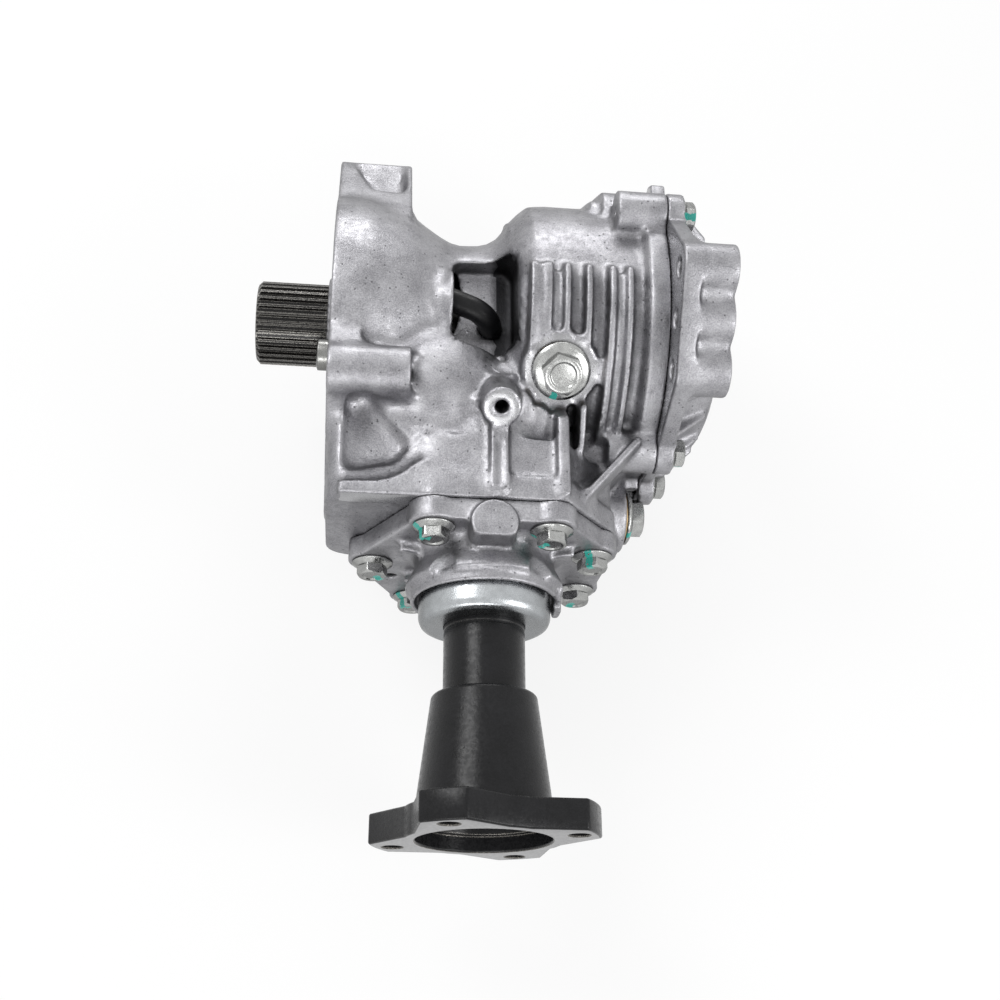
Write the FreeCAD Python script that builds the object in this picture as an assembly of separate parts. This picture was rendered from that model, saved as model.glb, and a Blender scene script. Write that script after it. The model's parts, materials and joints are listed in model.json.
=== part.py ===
import FreeCAD, Part
import math
import os

# Power-transfer unit for a transverse front-drive gearbox, in millimetres.
# X runs along the input axis, from the gearbox joint face (X = 0) to the right-hand cover.
# The drive pinion points along -Y, to the rear. Z is up.

# ---- driving dimensions: input axis and casings ----
PINION_X = 83.6             # pinion axis, measured from the joint face
COVER_X = 171.0             # joint between main case and side cover
CARRIER_Y = -122.0          # joint between main case and pinion carrier
FLANGE_T = 16.0             # thickness of the gearbox flange
LUG_R = 13.0                # bolt lugs of the gearbox flange
LUG_HOLE_R = 5.5
# gearbox flange lugs: (Y, Z, depth of the lug along X)
LUGS = [(85.5, 14.0, 40.0), (-60.0, 58.0, 41.0), (-93.4, -17.0, 30.0),
        (-48.0, -76.0, 24.0), (24.0, -84.0, 24.0), (76.0, -44.0, 30.0)]
FLANGE_BACK_R = 10.0        # how far the flange plate reaches past the lug centres
SPIGOT_R = 26.0
SPIGOT_L = 3.0
NECK_R = 48.0
NECK_X = 66.0
FUNNEL_R = 70.0             # casing radius just behind the gearbox flange
HOUSING_X = 89.5            # where the neck starts to open into the ring gear housing
HOUSING_R = 72.0
CHAMBER_R = 66.0            # ring gear chamber
CHAMBER_X = 98.0
RIM_R = 78.0                # rim of the main case at the cover joint
RIM_T = 13.0
NECK_BORE_R = 29.5
INPUT_SEAL_R = 28.0
INPUT_SEAL_X = 3.0

# ---- ring gear shaft train ----
SHAFT_BORE_R = 16.0
SPLINE_TEETH = 29
SPLINE_MODULE = 1.5
SPLINE_X0 = -40.5
SHAFT_SEAL_R = 22.4
LEFT_BEARING_X = 42.0
RIGHT_BEARING_X = 172.0
GEAR_SEAT_X = 124.0
GEAR_FLANGE_T = 10.0
GEAR_FLANGE_R = 56.0
GEAR_PILOT_R = 36.0
GEAR_BOLT_PCD = 92.0
GEAR_BOLTS = 10
RING_TEETH = 42
PINION_TEETH = 17
RING_PITCH_R = 62.0
FACE_WIDTH = 20.0
BACKLASH = 0.45
SPIRAL_DEG = 22.0

# ---- bearings: bore radius, outer radius, width, roller radius, roller count ----
LEFT_BEARING = (25.0, 40.0, 20.0, 3.5, 20)
RIGHT_BEARING = (27.5, 45.0, 23.0, 4.0, 20)
HEAD_BEARING = (17.5, 36.0, 18.0, 4.6, 15)
TAIL_BEARING = (15.0, 31.0, 17.0, 4.0, 15)
CUP_SETBACK = 2.0           # the cup starts this far past the cone's small end
CONE_SETBACK = 1.0          # the cone stops this far short of the cup's large end
ROLLER_GAP = 0.08
ROLLER_END_GAP = 0.3
CONE_ANGLE = 13.0

# ---- pinion train, along -Y ----
PINION_BACK_Y = -68.0
TAIL_BEARING_Y = -126.0
PINION_SEAL_Y = -147.0
SEAL_T = 8.0
TUBE_R = 20.4
SHOULDER_Y = -207.0
SHOULDER_R = 26.2
CONE_END_R = 33.0
PLATE_Y = -276.5
PLATE_T = 14.5
LOBE_END_R = 55.5
LOBE_EDGE = 9.0             # from a flange hole's centre to the end of its lobe
FLANGE_PCD = 2 * (LOBE_END_R - LOBE_EDGE)
FLANGE_HOLE_R = 5.1
LOBE_HALF_W = 11.4
LOBE_TURN = 25.0
WAIST_R = 39.0
WAIST_HALF_DEG = 8.0
PILOT_R = 32.4
PILOT_L = 8.0
NUT_RECESS_R = 16.6
HUB_BORE_R = 14.5
NUT_SEAT_Y = -176.0
THREAD_R = 11.0
THREAD_L = 20.0
NUT_AF = 27.0
NUT_H = 14.0
WASHER_T = 3.0
DUST_R = 33.3
DUST_Y = -171.5
DUST_L = 15.0
DUST_WALL = 1.5
SPACER_STEP_Y = -104.0

# ---- pinion carrier ----
CARRIER_T = 11.0
CARRIER_BOLTS = [(-28.5, 38.2), (29.5, 37.6), (55.0, 6.0), (54.0, -43.0), (-34.0, -61.5), (-57.0, -13.0)]
CARRIER_LUG_R = 12.6
TOWER_TOP_Y = -88.0         # where the tower's plate ends and its barrel stands clear
TOWER_R = 49.0
BELLY_R = 42.0
BELLY_POS = (55.0, -53.0, 15.0)
BELLY_END = (66.0, -77.0, 7.0)
CARRIER_SPIGOT_R = 40.0
CARRIER_RIM_Y = -159.0
CARRIER_RIM_R = 37.6
CARRIER_RIM_BORE = 35.2
CARRIER_NECK_R = 40.4
CARRIER_NECK_Y = -153.0
CARRIER_CORE_R = 27.0
SEAT_T = 2.0
PAD_DISC_R = 11.5           # half-round pad between the upper bolts
WEB_ANGLES = [158.0, 24.0, 214.0, 322.0]     # webs from the ears to the neck

# ---- side cover ----
COVER_T = 6.0
COVER_BOLT_R = 79.0
COVER_BOLT_ANGLES = [63.0, 167.0, 201.0, 238.0, 275.0, 312.0, 350.0]
COVER_LUG_R = 11.5
COVER_R = 80.0
DOME_R = 66.0
DOME_X = RIGHT_BEARING_X + RIGHT_BEARING[2] + SEAL_T + 1.0
SHAFT_SEAL_OUT_R = 29.0
SHAFT_SEAL_IN_R = 17.5
SPIGOT_DEPTH = 6.0
CORD_R = 1.5                # section of the O-rings
COVER_RIBS = 24
PAD_DIR_DEG = 122.8         # direction of the bracket pad around the input axis
PAD_REACH = 84.2            # row of bracket holes, from the input axis
PAD_SHIFT = 15.0            # row centre, measured along the pad
PAD_PITCH = 25.3
PAD_BOSS_R = 12.9
PAD_END_X = 199.0
PAD_HOLE_R = 5.1
# bracket holes from the lower to the upper one; the lower runs through, as the filler boss stands before it
PAD_HOLE_DEPTHS = [PAD_END_X - COVER_X, 21.5, 23.0]

# ---- fasteners, plugs and seals ----
BOLT_R = 5.0
BOLT_AF = 14.0
BOLT_HEAD_H = 7.0
BOLT_FLANGE_R = 10.6
BOLT_FLANGE_T = 2.2
BOLT_CLEAR = 0.05
COVER_BOLT_L = 30.0
CARRIER_BOLT_L = 32.0
PLUG_AF = 19.0
PLUG_HEAD_H = 7.0
PLUG_FLANGE_R = 15.0
PLUG_FLANGE_T = 3.0
PLUG_R = 9.0
PLUG_L = 14.0
GASKET_R = 14.0
GASKET_T = 1.6
FIT_CLEAR = 0.05            # running clearance between turning and fixed faces
DOWEL_R = 8.4
DOWEL_BORE_R = 6.2
DOWEL_L = 14.0
DOWEL_OUT = 7.0
DOWEL_STEP = 0.2            # the half pressed into the case is this much larger in radius
DOWEL_POS = [(-31.5, 23.0), (40.0, -62.0)]

# ---- outside features of the main case ----
FILL_SEAT = (116.5, -52.5, 56.0)
FILL_BOSS_R = 19.5
FACE_TILT_DEG = 44.3        # tilt of the filler seat from level, towards the rear
SENSE_POS = (86.0, -78.5, 61.5)
SENSE_R = 10.0
SENSE_HOLE_R = 3.5
FIN_X = [101.0, 108.5, 118.0, 129.0, 141.0, 150.0]
FIN_T = 3.4
FIN_R = 79.5
FIN_FROM = 88.0
FIN_TO = 168.0
# straight run-out of the fins over the tower: (Y, Z)
FIN_TAIL = [(-48.0, 62.0), (-66.0, 52.0), (-82.0, 43.0), (-91.0, 34.5), (-94.5, 27.0), (-94.5, 10.0), (-48.0, 10.0)]
DRAIN_POS = (162.0, -95.0, -28.0)
DRAIN_BOSS_R = 19.5
# crest of the raised band along the carrier joint: (X, height above the band's foot)
SEAM_CREST = [(8.0, -2.0), (20.0, -1.2), (32.0, 0.4), (40.0, 5.0), (48.0, 11.0), (56.0, 10.4), (63.0, 8.2),
              (71.0, 8.6), (80.0, 14.0)]
HOSE_R = 6.2
HOSE_BEND_R = 12.4
HOSE_RUN = 10.0
HOSE_SOCKET = 4.0
HOSE_BOSS_R = 16.5
POCKET_X = (62.0, 95.2)
POCKET_Y = (-36.0, 17.0)
POCKET_Z = 34.0
HOSE_START = (POCKET_X[0], -8.5, POCKET_Z + HOSE_BEND_R)
HOSE_TURN_DEG = -21.8


def vec(x, y, z):
    return FreeCAD.Vector(x, y, z)


X_AXIS = vec(1, 0, 0)
Y_AXIS = vec(0, 1, 0)
Z_AXIS = vec(0, 0, 1)
PINION_O = vec(PINION_X, 0, 0)


def rod(start, direction, radius, length):
    return Part.makeCylinder(radius, length, start, direction)


def ring(start, direction, outer, inner, length):
    return rod(start, direction, outer, length).cut(rod(start, direction, inner, length))


def turned_x(profile):
    """Solid of revolution about the input axis from (x, radius) corners."""
    wire = Part.makePolygon([vec(x, r, 0) for x, r in profile + profile[:1]])
    return Part.Face(wire).revolve(vec(0, 0, 0), X_AXIS, 360)


def turned_y(profile):
    """Solid of revolution about the pinion axis from (y, radius) corners."""
    wire = Part.makePolygon([vec(PINION_X + r, y, 0) for y, r in profile + profile[:1]])
    return Part.Face(wire).revolve(PINION_O, Y_AXIS, 360)


def rounded_outline(points, radius, place):
    """Closed outline that runs round a convex chain of points at one radius."""
    edges = []
    count = len(points)
    area = sum(points[i][0] * points[(i + 1) % count][1] - points[(i + 1) % count][0] * points[i][1]
               for i in range(count))
    chain = points if area > 0 else points[::-1]
    sides = []
    for i in range(count):
        a = chain[i]
        b = chain[(i + 1) % count]
        size = math.hypot(b[0] - a[0], b[1] - a[1])
        sides.append(((b[1] - a[1]) / size, -(b[0] - a[0]) / size))
    for i in range(count):
        a = chain[i]
        b = chain[(i + 1) % count]
        n = sides[i]
        m = sides[(i + 1) % count]
        start = (a[0] + radius * n[0], a[1] + radius * n[1])
        end = (b[0] + radius * n[0], b[1] + radius * n[1])
        mid = (n[0] + m[0], n[1] + m[1])
        size = math.hypot(*mid)
        turn = (b[0] + radius * mid[0] / size, b[1] + radius * mid[1] / size) if size > 1e-6 else \
            (b[0] - radius * n[1], b[1] + radius * n[0])
        last = (b[0] + radius * m[0], b[1] + radius * m[1])
        edges.append(Part.LineSegment(place(*start), place(*end)).toShape())
        if math.dist(end, last) > 1e-6:
            edges.append(Part.Arc(place(*end), place(*turn), place(*last)).toShape())
    return Part.Face(Part.Wire(edges))


def slab_x(points, radius, x0, x1):
    """Rounded plate square to the input axis; the points are (Y, Z)."""
    face = rounded_outline(points, radius, lambda y, z: vec(x0, y, z))
    return face.extrude(vec(x1 - x0, 0, 0))


def slab_y(points, radius, y0, y1):
    """Rounded plate square to the pinion axis; the points are (X offset, Z)."""
    face = rounded_outline(points, radius, lambda x, z: vec(PINION_X + x, y0, z))
    return face.extrude(vec(0, y1 - y0, 0))


def polar(radius, degrees):
    """(Y, Z) of a point around the input axis, counted from +Y towards +Z."""
    return radius * math.cos(math.radians(degrees)), radius * math.sin(math.radians(degrees))


def hexagon(start, direction, flats, height):
    """Hexagon head with its outer corners turned off."""
    up = FreeCAD.Rotation(Z_AXIS, direction)
    corner = flats / math.sqrt(3)
    points = [up.multVec(vec(corner * math.cos(math.radians(60 * i)),
                             corner * math.sin(math.radians(60 * i)), 0)) + start for i in range(7)]
    prism = Part.Face(Part.makePolygon(points)).extrude(direction * height)
    slope = math.tan(math.radians(30))
    bevel = Part.makeCone(flats / 2 + height / slope * 0.97, flats / 2 * 0.97, height, start, direction)
    return prism.common(bevel)


def flange_bolt(seat, direction, length, radius=BOLT_R):
    """Flanged hexagon bolt: the head stands on the seat along direction, the shank runs the other way."""
    skirt = Part.makeCone(BOLT_FLANGE_R, BOLT_AF / 2 + 0.6, BOLT_FLANGE_T, seat + direction, direction)
    washer = rod(seat, direction, BOLT_FLANGE_R, 1.0)
    head = hexagon(seat + direction, direction, BOLT_AF, BOLT_HEAD_H)
    shank = rod(seat, direction * -1, radius, length)
    return washer.fuse([skirt, head, shank]).removeSplitter()


def plug(seat, direction):
    """Flanged hexagon plug standing on its gasket."""
    base = seat + direction * GASKET_T
    flange = rod(base, direction, PLUG_FLANGE_R, PLUG_FLANGE_T)
    flange = flange.makeChamfer(0.8, [flange.Edges[0], flange.Edges[2]])
    head = hexagon(base + direction * PLUG_FLANGE_T, direction, PLUG_AF, PLUG_HEAD_H)
    shank = rod(base, direction * -1, PLUG_R, PLUG_L)
    return flange.fuse([head, shank]).removeSplitter()


def gasket(seat, direction):
    return ring(seat, direction, GASKET_R, PLUG_R + BOLT_CLEAR, GASKET_T)


def arc_fin(x, thickness, root, crest, start, stop):
    """Curved cooling fin square to the input axis, with its ends run out to the wall."""
    points = []
    for share, radius in ((0.0, root), (0.06, crest), (0.5, crest), (0.94, crest), (1.0, root)):
        y, z = polar(radius, start + (stop - start) * share)
        points.append(vec(x - thickness / 2, y, z))
    inner_y, inner_z = polar(root, (start + stop) / 2)
    edges = [Part.LineSegment(points[0], points[1]).toShape(),
             Part.Arc(points[1], points[2], points[3]).toShape(),
             Part.LineSegment(points[3], points[4]).toShape(),
             Part.Arc(points[4], vec(points[0].x, inner_y, inner_z), points[0]).toShape()]
    return Part.Face(Part.Wire(edges)).extrude(vec(thickness, 0, 0))


def rib(start, end, width, up, height):
    """Straight rib with round ends, standing along up from the line start to end."""
    along = (end - start).normalize()
    side = up.cross(along).normalize()
    half = side * (width / 2)
    nose = along * (width / 2)
    edges = [Part.LineSegment(start + half, end + half).toShape(),
             Part.Arc(end + half, end + nose, end - half).toShape(),
             Part.LineSegment(end - half, start - half).toShape(),
             Part.Arc(start - half, start - nose, start + half).toShape()]
    return Part.Face(Part.Wire(edges)).extrude(up * height)


# ---- taper roller bearings, made along +Z with the small end at z = 0 ----
def bearing_numbers(spec):
    bore, outer, width, roller, count = spec
    pitch = (bore + outer) / 2 - 0.3
    tilt = math.radians(CONE_ANGLE)
    reach = pitch / math.sin(tilt)
    spread = math.asin(roller / reach)
    apex = width / 2 - reach * math.cos(tilt)
    return pitch, tilt, reach, spread, apex


def bearing_cup(spec):
    bore, outer, width, roller, count = spec
    pitch, tilt, reach, spread, apex = bearing_numbers(spec)
    low = CUP_SETBACK
    race = [(z - apex) * math.tan(tilt + spread) for z in (low, width)]
    wire = Part.makePolygon([vec(race[0], 0, low), vec(outer, 0, low), vec(outer, 0, width),
                             vec(race[1], 0, width), vec(race[0], 0, low)])
    return Part.Face(wire).revolve(vec(0, 0, 0), Z_AXIS, 360)


def bearing_cone(spec):
    bore, outer, width, roller, count = spec
    pitch, tilt, reach, spread, apex = bearing_numbers(spec)
    half = roller_half(spec) + ROLLER_END_GAP
    slope = math.tan(tilt - spread)

    def rib_point(end, rise):
        """(radius, z) on a rib face, which stands square to the roller axis."""
        foot = end / (math.cos(tilt) + slope * math.sin(tilt)) * slope
        return foot + rise, apex + (end - (foot + rise) * math.sin(tilt)) / math.cos(tilt)

    small_rib = rib_point(reach - half, 0.9)
    large_rib = rib_point(reach + half, 1.9)
    back = width - CONE_SETBACK
    profile = [(bore, 0), (small_rib[0], 0), small_rib, rib_point(reach - half, 0),
               rib_point(reach + half, 0), large_rib, (large_rib[0], back), (bore, back)]
    wire = Part.makePolygon([vec(r, 0, z) for r, z in profile + profile[:1]])
    return Part.Face(wire).revolve(vec(0, 0, 0), Z_AXIS, 360)


def roller_half(spec):
    return spec[2] * 0.31


def bearing_roller(spec, grow):
    pitch, tilt, reach, spread, apex = bearing_numbers(spec)
    half = roller_half(spec) + max(grow, 0)
    direction = vec(math.sin(tilt), 0, math.cos(tilt))
    start = vec(0, 0, apex) + direction * (reach - half)
    small = (reach - half) * math.tan(spread) + grow
    large = (reach + half) * math.tan(spread) + grow
    return Part.makeCone(small, large, 2 * half, start, direction)


def bearing_rollers(spec, grow=-ROLLER_GAP):
    solids = []
    for i in range(spec[4]):
        roller = bearing_roller(spec, grow)
        roller.rotate(vec(0, 0, 0), Z_AXIS, 360.0 * i / spec[4])
        solids.append(roller)
    return Part.makeCompound(solids)


def bearing_cage(spec):
    bore, outer, width, roller, count = spec
    pitch, tilt, reach, spread, apex = bearing_numbers(spec)
    half = roller_half(spec) + 1.8
    ends = [width / 2 - half * math.cos(tilt), width / 2 + half * math.cos(tilt)]
    inner = [(z - apex) * math.tan(tilt) + 0.35 for z in ends]
    wire = Part.makePolygon([vec(inner[0], 0, ends[0]), vec(inner[1], 0, ends[1]),
                             vec(inner[1] + 1.2, 0, ends[1]), vec(inner[0] + 1.2, 0, ends[0]),
                             vec(inner[0], 0, ends[0])])
    shell = Part.Face(wire).revolve(vec(0, 0, 0), Z_AXIS, 360)
    return shell.cut(bearing_rollers(spec, 0.12))


def placed(shape, start, direction):
    """Moves a shape made along +Z so that it starts at start and runs along direction."""
    result = shape.copy()
    result.Placement = FreeCAD.Placement(start, FreeCAD.Rotation(Z_AXIS, direction)).multiply(result.Placement)
    return result


HEAD_SMALL_Y = PINION_BACK_Y - HEAD_BEARING[2] + CONE_SETBACK
HUB_Y = TAIL_BEARING_Y - TAIL_BEARING[2] + CONE_SETBACK
SHAFT_END_X = RIGHT_BEARING_X + RIGHT_BEARING[2]
BEARINGS = {
    "left": (LEFT_BEARING, vec(LEFT_BEARING_X, 0, 0), X_AXIS),
    "right": (RIGHT_BEARING, vec(RIGHT_BEARING_X + RIGHT_BEARING[2], 0, 0), X_AXIS * -1),
    "head": (HEAD_BEARING, vec(PINION_X, HEAD_SMALL_Y, 0), Y_AXIS),
    "tail": (TAIL_BEARING, vec(PINION_X, TAIL_BEARING_Y, 0), Y_AXIS * -1),
}


# ---- spiral bevel gears ----
PITCH_ANGLE = {"ring": math.atan(RING_TEETH / PINION_TEETH), "pinion": math.atan(PINION_TEETH / RING_TEETH)}
CONE_DISTANCE = RING_PITCH_R / math.sin(PITCH_ANGLE["ring"])
MODULE = 2 * RING_PITCH_R / RING_TEETH
GEAR_SECTIONS = 5


def involute_half_tooth(teeth, module, pressure, backlash, depth):
    """Half of one tooth as (radius, half angle) pairs from the root up to the tip."""
    pitch_r = module * teeth / 2
    base_r = pitch_r * math.cos(pressure)
    tip_r = pitch_r + module
    root_r = pitch_r - depth * module
    at_pitch = math.pi / (2 * teeth) - backlash / (4 * pitch_r)
    inv = math.tan(pressure) - pressure
    low = max(base_r * 1.001, root_r + 0.15 * module)
    pairs = [(root_r, 0.0)]
    for share in (0.0, 0.35, 0.7, 1.0):
        radius = low + (tip_r - low) * share
        angle = math.acos(min(1.0, base_r / radius))
        pairs.append((radius, at_pitch + inv - (math.tan(angle) - angle)))
    pairs[0] = (root_r, pairs[1][1] + 0.1 * module / pitch_r)
    return pairs


def bevel_tooth(kind, hand):
    """One spiral tooth along +Z with the cone apex at the origin, lofted through flat sections."""
    teeth = RING_TEETH if kind == "ring" else PINION_TEETH
    delta = PITCH_ANGLE[kind]
    wires = []
    for k in range(GEAR_SECTIONS):
        cone = CONE_DISTANCE - FACE_WIDTH * k / (GEAR_SECTIONS - 1)
        scale = cone / CONE_DISTANCE
        module = MODULE * scale
        virtual = teeth / math.cos(delta)
        half = involute_half_tooth(virtual, module, math.radians(20), BACKLASH * scale, 1.35)
        radius_v = module * virtual / 2
        outline = [(r * math.sin(a), r * math.cos(a) - radius_v) for r, a in half]
        outline = outline + [(-s, t) for s, t in outline[::-1]]
        # local axes: side = around the gear, out = square to the pitch cone
        lag = math.log(CONE_DISTANCE / cone) * math.tan(math.radians(SPIRAL_DEG)) / math.sin(delta) * hand
        points = []
        for s, t in outline:
            x = cone * math.sin(delta) + t * math.cos(delta)
            z = cone * math.cos(delta) - t * math.sin(delta)
            points.append(vec(x * math.cos(lag) - s * math.sin(lag), x * math.sin(lag) + s * math.cos(lag), z))
        wires.append(Part.makePolygon(points + points[:1]))
    return Part.makeLoft(wires, True, True)


def cone_point(kind, cone, height):
    """(radius, axial) of a point at a cone distance, height above the pitch cone."""
    delta = PITCH_ANGLE[kind]
    return (cone * math.sin(delta) + height * math.cos(delta), cone * math.cos(delta) - height * math.sin(delta))


def gear_blank(kind, tail):
    """Root cone of a gear between its two end cones, closed by the (radius, axial) corners in tail."""
    inner = CONE_DISTANCE - FACE_WIDTH
    sink = 1.2 * MODULE
    first = cone_point(kind, CONE_DISTANCE, -sink)
    last = cone_point(kind, inner, -sink * inner / CONE_DISTANCE)
    corners = [first, last] + tail
    wire = Part.makePolygon([vec(r, 0, z) for r, z in corners + corners[:1]])
    return Part.Face(wire).revolve(vec(0, 0, 0), Z_AXIS, 360)


def toothed(kind, blank, hand, phase):
    teeth = RING_TEETH if kind == "ring" else PINION_TEETH
    solids = []
    for i in range(teeth):
        tooth = bevel_tooth(kind, hand) if i == 0 else solids[0].copy()
        tooth.rotate(vec(0, 0, 0), Z_AXIS, 360.0 * i / teeth)
        solids.append(tooth)
    gear = blank.fuse(solids)
    gear.rotate(vec(0, 0, 0), Z_AXIS, phase)
    return gear


# ---- one function per piece ----
def fill_axis():
    tilt = math.radians(FACE_TILT_DEG)
    return vec(0, -math.sin(tilt), math.cos(tilt))


def flange_points():
    return [(y, z) for y, z, depth in LUGS]


def seam_band():
    """Raised band along the carrier joint; its upper edge waves round the tower."""
    low = CARRIER_Y + 8
    z = 38.0
    crest = Part.BSplineCurve()
    crest.interpolate([vec(x, low + rise, z) for x, rise in SEAM_CREST])
    outline = crest.discretize(24) + [vec(80, CARRIER_Y, z), vec(8, CARRIER_Y, z)]
    return Part.Face(Part.makePolygon(outline + outline[:1])).extrude(Z_AXIS * (37 + CARRIER_LUG_R - z))


def make_main_case():
    axis = fill_axis()
    seat = vec(*FILL_SEAT)
    sense = vec(*SENSE_POS)
    bodies = [slab_x(flange_points(), FLANGE_BACK_R, 0, FLANGE_T)]
    bodies += [rod(vec(0, y, z), X_AXIS, LUG_R, depth) for y, z, depth in LUGS]
    bodies.append(turned_x([(0, 0), (0, FUNNEL_R), (FLANGE_T, FUNNEL_R), (30, 65.5), (42, 61), (52, 54.5), (60, 49.8),
                            (NECK_X, NECK_R), (NECK_X + 12, NECK_R + 0.6), (NECK_X + 19, NECK_R + 3), (HOUSING_X, 56),
                            (HOUSING_X + 7, 66), (HOUSING_X + 13, 71), (HOUSING_X + 20, HOUSING_R),
                            (COVER_X - RIM_T, HOUSING_R), (COVER_X - RIM_T + 3, RIM_R), (COVER_X, RIM_R),
                            (COVER_X, 0)]))
    bodies.append(rod(vec(-SPIGOT_L, 0, 0), X_AXIS, SPIGOT_R, SPIGOT_L))
    # forward arm that carries the deepest lug
    arm_y, arm_z, arm_depth = LUGS[0]
    bodies.append(slab_x([(arm_y, arm_z), (arm_y - 6, arm_z - 20), (20, -30), (20, 45)], LUG_R, 0, arm_depth))
    # pinion tower and the web that ties it to the gearbox flange
    bodies.append(slab_y(CARRIER_BOLTS, CARRIER_LUG_R - 1.8, CARRIER_Y, TOWER_TOP_Y))
    bodies.append(turned_y([(CARRIER_Y, 0), (CARRIER_Y, TOWER_R), (TOWER_TOP_Y + 6, TOWER_R), (-58, TOWER_R - 1.5), (-58, 0)]))
    upper = vec(*BELLY_POS)
    lower = vec(*BELLY_END)
    bodies += [Part.makeSphere(BELLY_R, upper), Part.makeSphere(BELLY_R, lower)]
    bodies.append(rod(upper, (lower - upper).normalize(), BELLY_R, (lower - upper).Length))
    bodies.append(slab_y(CARRIER_BOLTS, CARRIER_LUG_R, CARRIER_Y, CARRIER_Y + 12))
    bodies.append(turned_y([(-58, 0), (-58, 47.5), (-50, 46.5), (-43, 43.5), (-37, 38.5), (-33, 32), (-31, 20), (-31, 0)]))
    web = [(-70, -22), (-20, -40), (-20, 32), (-70, 32)]
    bodies.append(slab_y(web, 12, CARRIER_Y + 1, -40))
    bodies.append(seam_band())
    # cover bolt lugs
    for degrees in COVER_BOLT_ANGLES:
        y, z = polar(COVER_BOLT_R, degrees)
        bodies.append(rod(vec(COVER_X - 26, y, z), X_AXIS, COVER_LUG_R, 26))
    # raised land above the ring gear
    land = [polar(HOUSING_R - 4, degrees) for degrees in (-8, 14, 44)]
    bodies.append(slab_x([land[0], land[1], land[2], (20, 10)], 14, COVER_X - 30, COVER_X))
    bodies.append(slab_x([land[0], land[1], land[2], (20, 10)], 9, COVER_X - 36, COVER_X - 29))
    # cooling fins, and the short fin where the neck meets the housing
    bodies.append(arc_fin(HOUSING_X + 3, 3, NECK_R, HOUSING_R - 10.5, 24, 56))
    for x in FIN_X:
        bodies.append(arc_fin(x, FIN_T, HOUSING_R - 2, FIN_R, FIN_FROM, FIN_TO))
    for x in FIN_X[:4]:
        tail = [vec(x - FIN_T / 2, y, z) for y, z in FIN_TAIL]
        bodies.append(Part.Face(Part.makePolygon(tail + tail[:1])).extrude(X_AXIS * FIN_T))
    # filler boss, sensor boss and their keels
    bodies.append(rod(seat - axis * 26, axis, FILL_BOSS_R, 26))
    bodies.append(rod(sense - axis * 26, axis, SENSE_R, 26))
    keel = rib(vec(SENSE_POS[0], -84, 42), vec(SENSE_POS[0], CARRIER_Y + 7, 42), 9, Z_AXIS, 11)
    bodies.append(keel.cut(rib(vec(SENSE_POS[0], -92, 50.5), vec(SENSE_POS[0], CARRIER_Y + 7, 50.5), 5, Z_AXIS, 3)))
    keel_x = FILL_SEAT[0] + 1.5
    bodies.append(rib(vec(keel_x, -66, 34), vec(keel_x, CARRIER_Y + 5, 34), 6, Z_AXIS, 18))
    # diagonal gusset to the drain side
    bodies.append(rib(vec(COVER_X - 12, -80, 20), vec(COVER_X - 43, CARRIER_Y + 6, 20), 4, Z_AXIS, 18))
    # drain boss
    drain = vec(*DRAIN_POS)
    bodies.append(rod(drain - X_AXIS * 34, X_AXIS, DRAIN_BOSS_R, 34))
    bodies.append(slab_y([(20, -38), (20, 20), (62, -20)], 12, CARRIER_Y + 1, -60))
    ledge = [vec(100, -60, -20), vec(160, -60, -20), vec(160, -79, -20), vec(128, -117, -20), vec(100, -117, -20)]
    bodies.append(Part.Face(Part.makePolygon(ledge + ledge[:1])).extrude(Z_AXIS * 40))
    # hose boss and rear keel of the flange
    bodies.append(Part.makeCone(4, HOSE_BOSS_R, 20, vec(HOSE_START[0] - 20, HOSE_START[1], HOSE_START[2] - 2), X_AXIS))
    case = bodies[0].fuse(bodies[1:])

    cuts = []
    # shaft passage, bearing seat and ring gear chamber
    cup_x = LEFT_BEARING_X + CUP_SETBACK
    passage = SHAFT_SEAL_R + 0.8
    cuts.append(turned_x([(-SPIGOT_L, 0), (-SPIGOT_L, passage), (cup_x - 8, passage), (cup_x - 8, 33), (cup_x, 33),
                          (cup_x, LEFT_BEARING[1]), (LEFT_BEARING_X + 21, LEFT_BEARING[1]), (LEFT_BEARING_X + 27, NECK_BORE_R),
                          (CHAMBER_X, NECK_BORE_R), (CHAMBER_X, 56), (CHAMBER_X + 7, CHAMBER_R),
                          (COVER_X, CHAMBER_R), (COVER_X, 0)]))
    cuts.append(rod(vec(INPUT_SEAL_X, 0, 0), X_AXIS, INPUT_SEAL_R, SEAL_T))
    # pinion bore
    spigot_l = PINION_BACK_Y + CONE_SETBACK - CARRIER_Y + 2
    cuts.append(rod(vec(PINION_X, CARRIER_Y, 0), Y_AXIS, CARRIER_SPIGOT_R + FIT_CLEAR, spigot_l))
    cuts.append(rod(vec(PINION_X, CARRIER_Y + spigot_l, 0), Y_AXIS, 33, 30))
    # open ring of the gearbox flange
    bosses = [rod(vec(0, y, z), X_AXIS, DOWEL_R + 4.5, 24) for y, z in DOWEL_POS]
    cuts.append(turned_x([(0, 36), (0, 58), (24, 50), (24, 36)]).cut(bosses))
    cuts.append(slab_x([(-70, -30), (-70, 24), (-84, 8), (-86, -28)], 5, 0, 26))
    # sunk panel beside the tower
    panel = [vec(9, -66, 38), vec(21, -66, 38), vec(44, -92, 38), (vec(36, -103, 38)), vec(9, -109, 38)]
    sunk = Part.Face(Part.makePolygon(panel + panel[:1])).extrude(Z_AXIS * 20)
    cuts.append(sunk.makeFillet(4.0, [e for e in sunk.Edges if abs(e.tangentAt(e.FirstParameter).z) > 0.9]))
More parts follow.
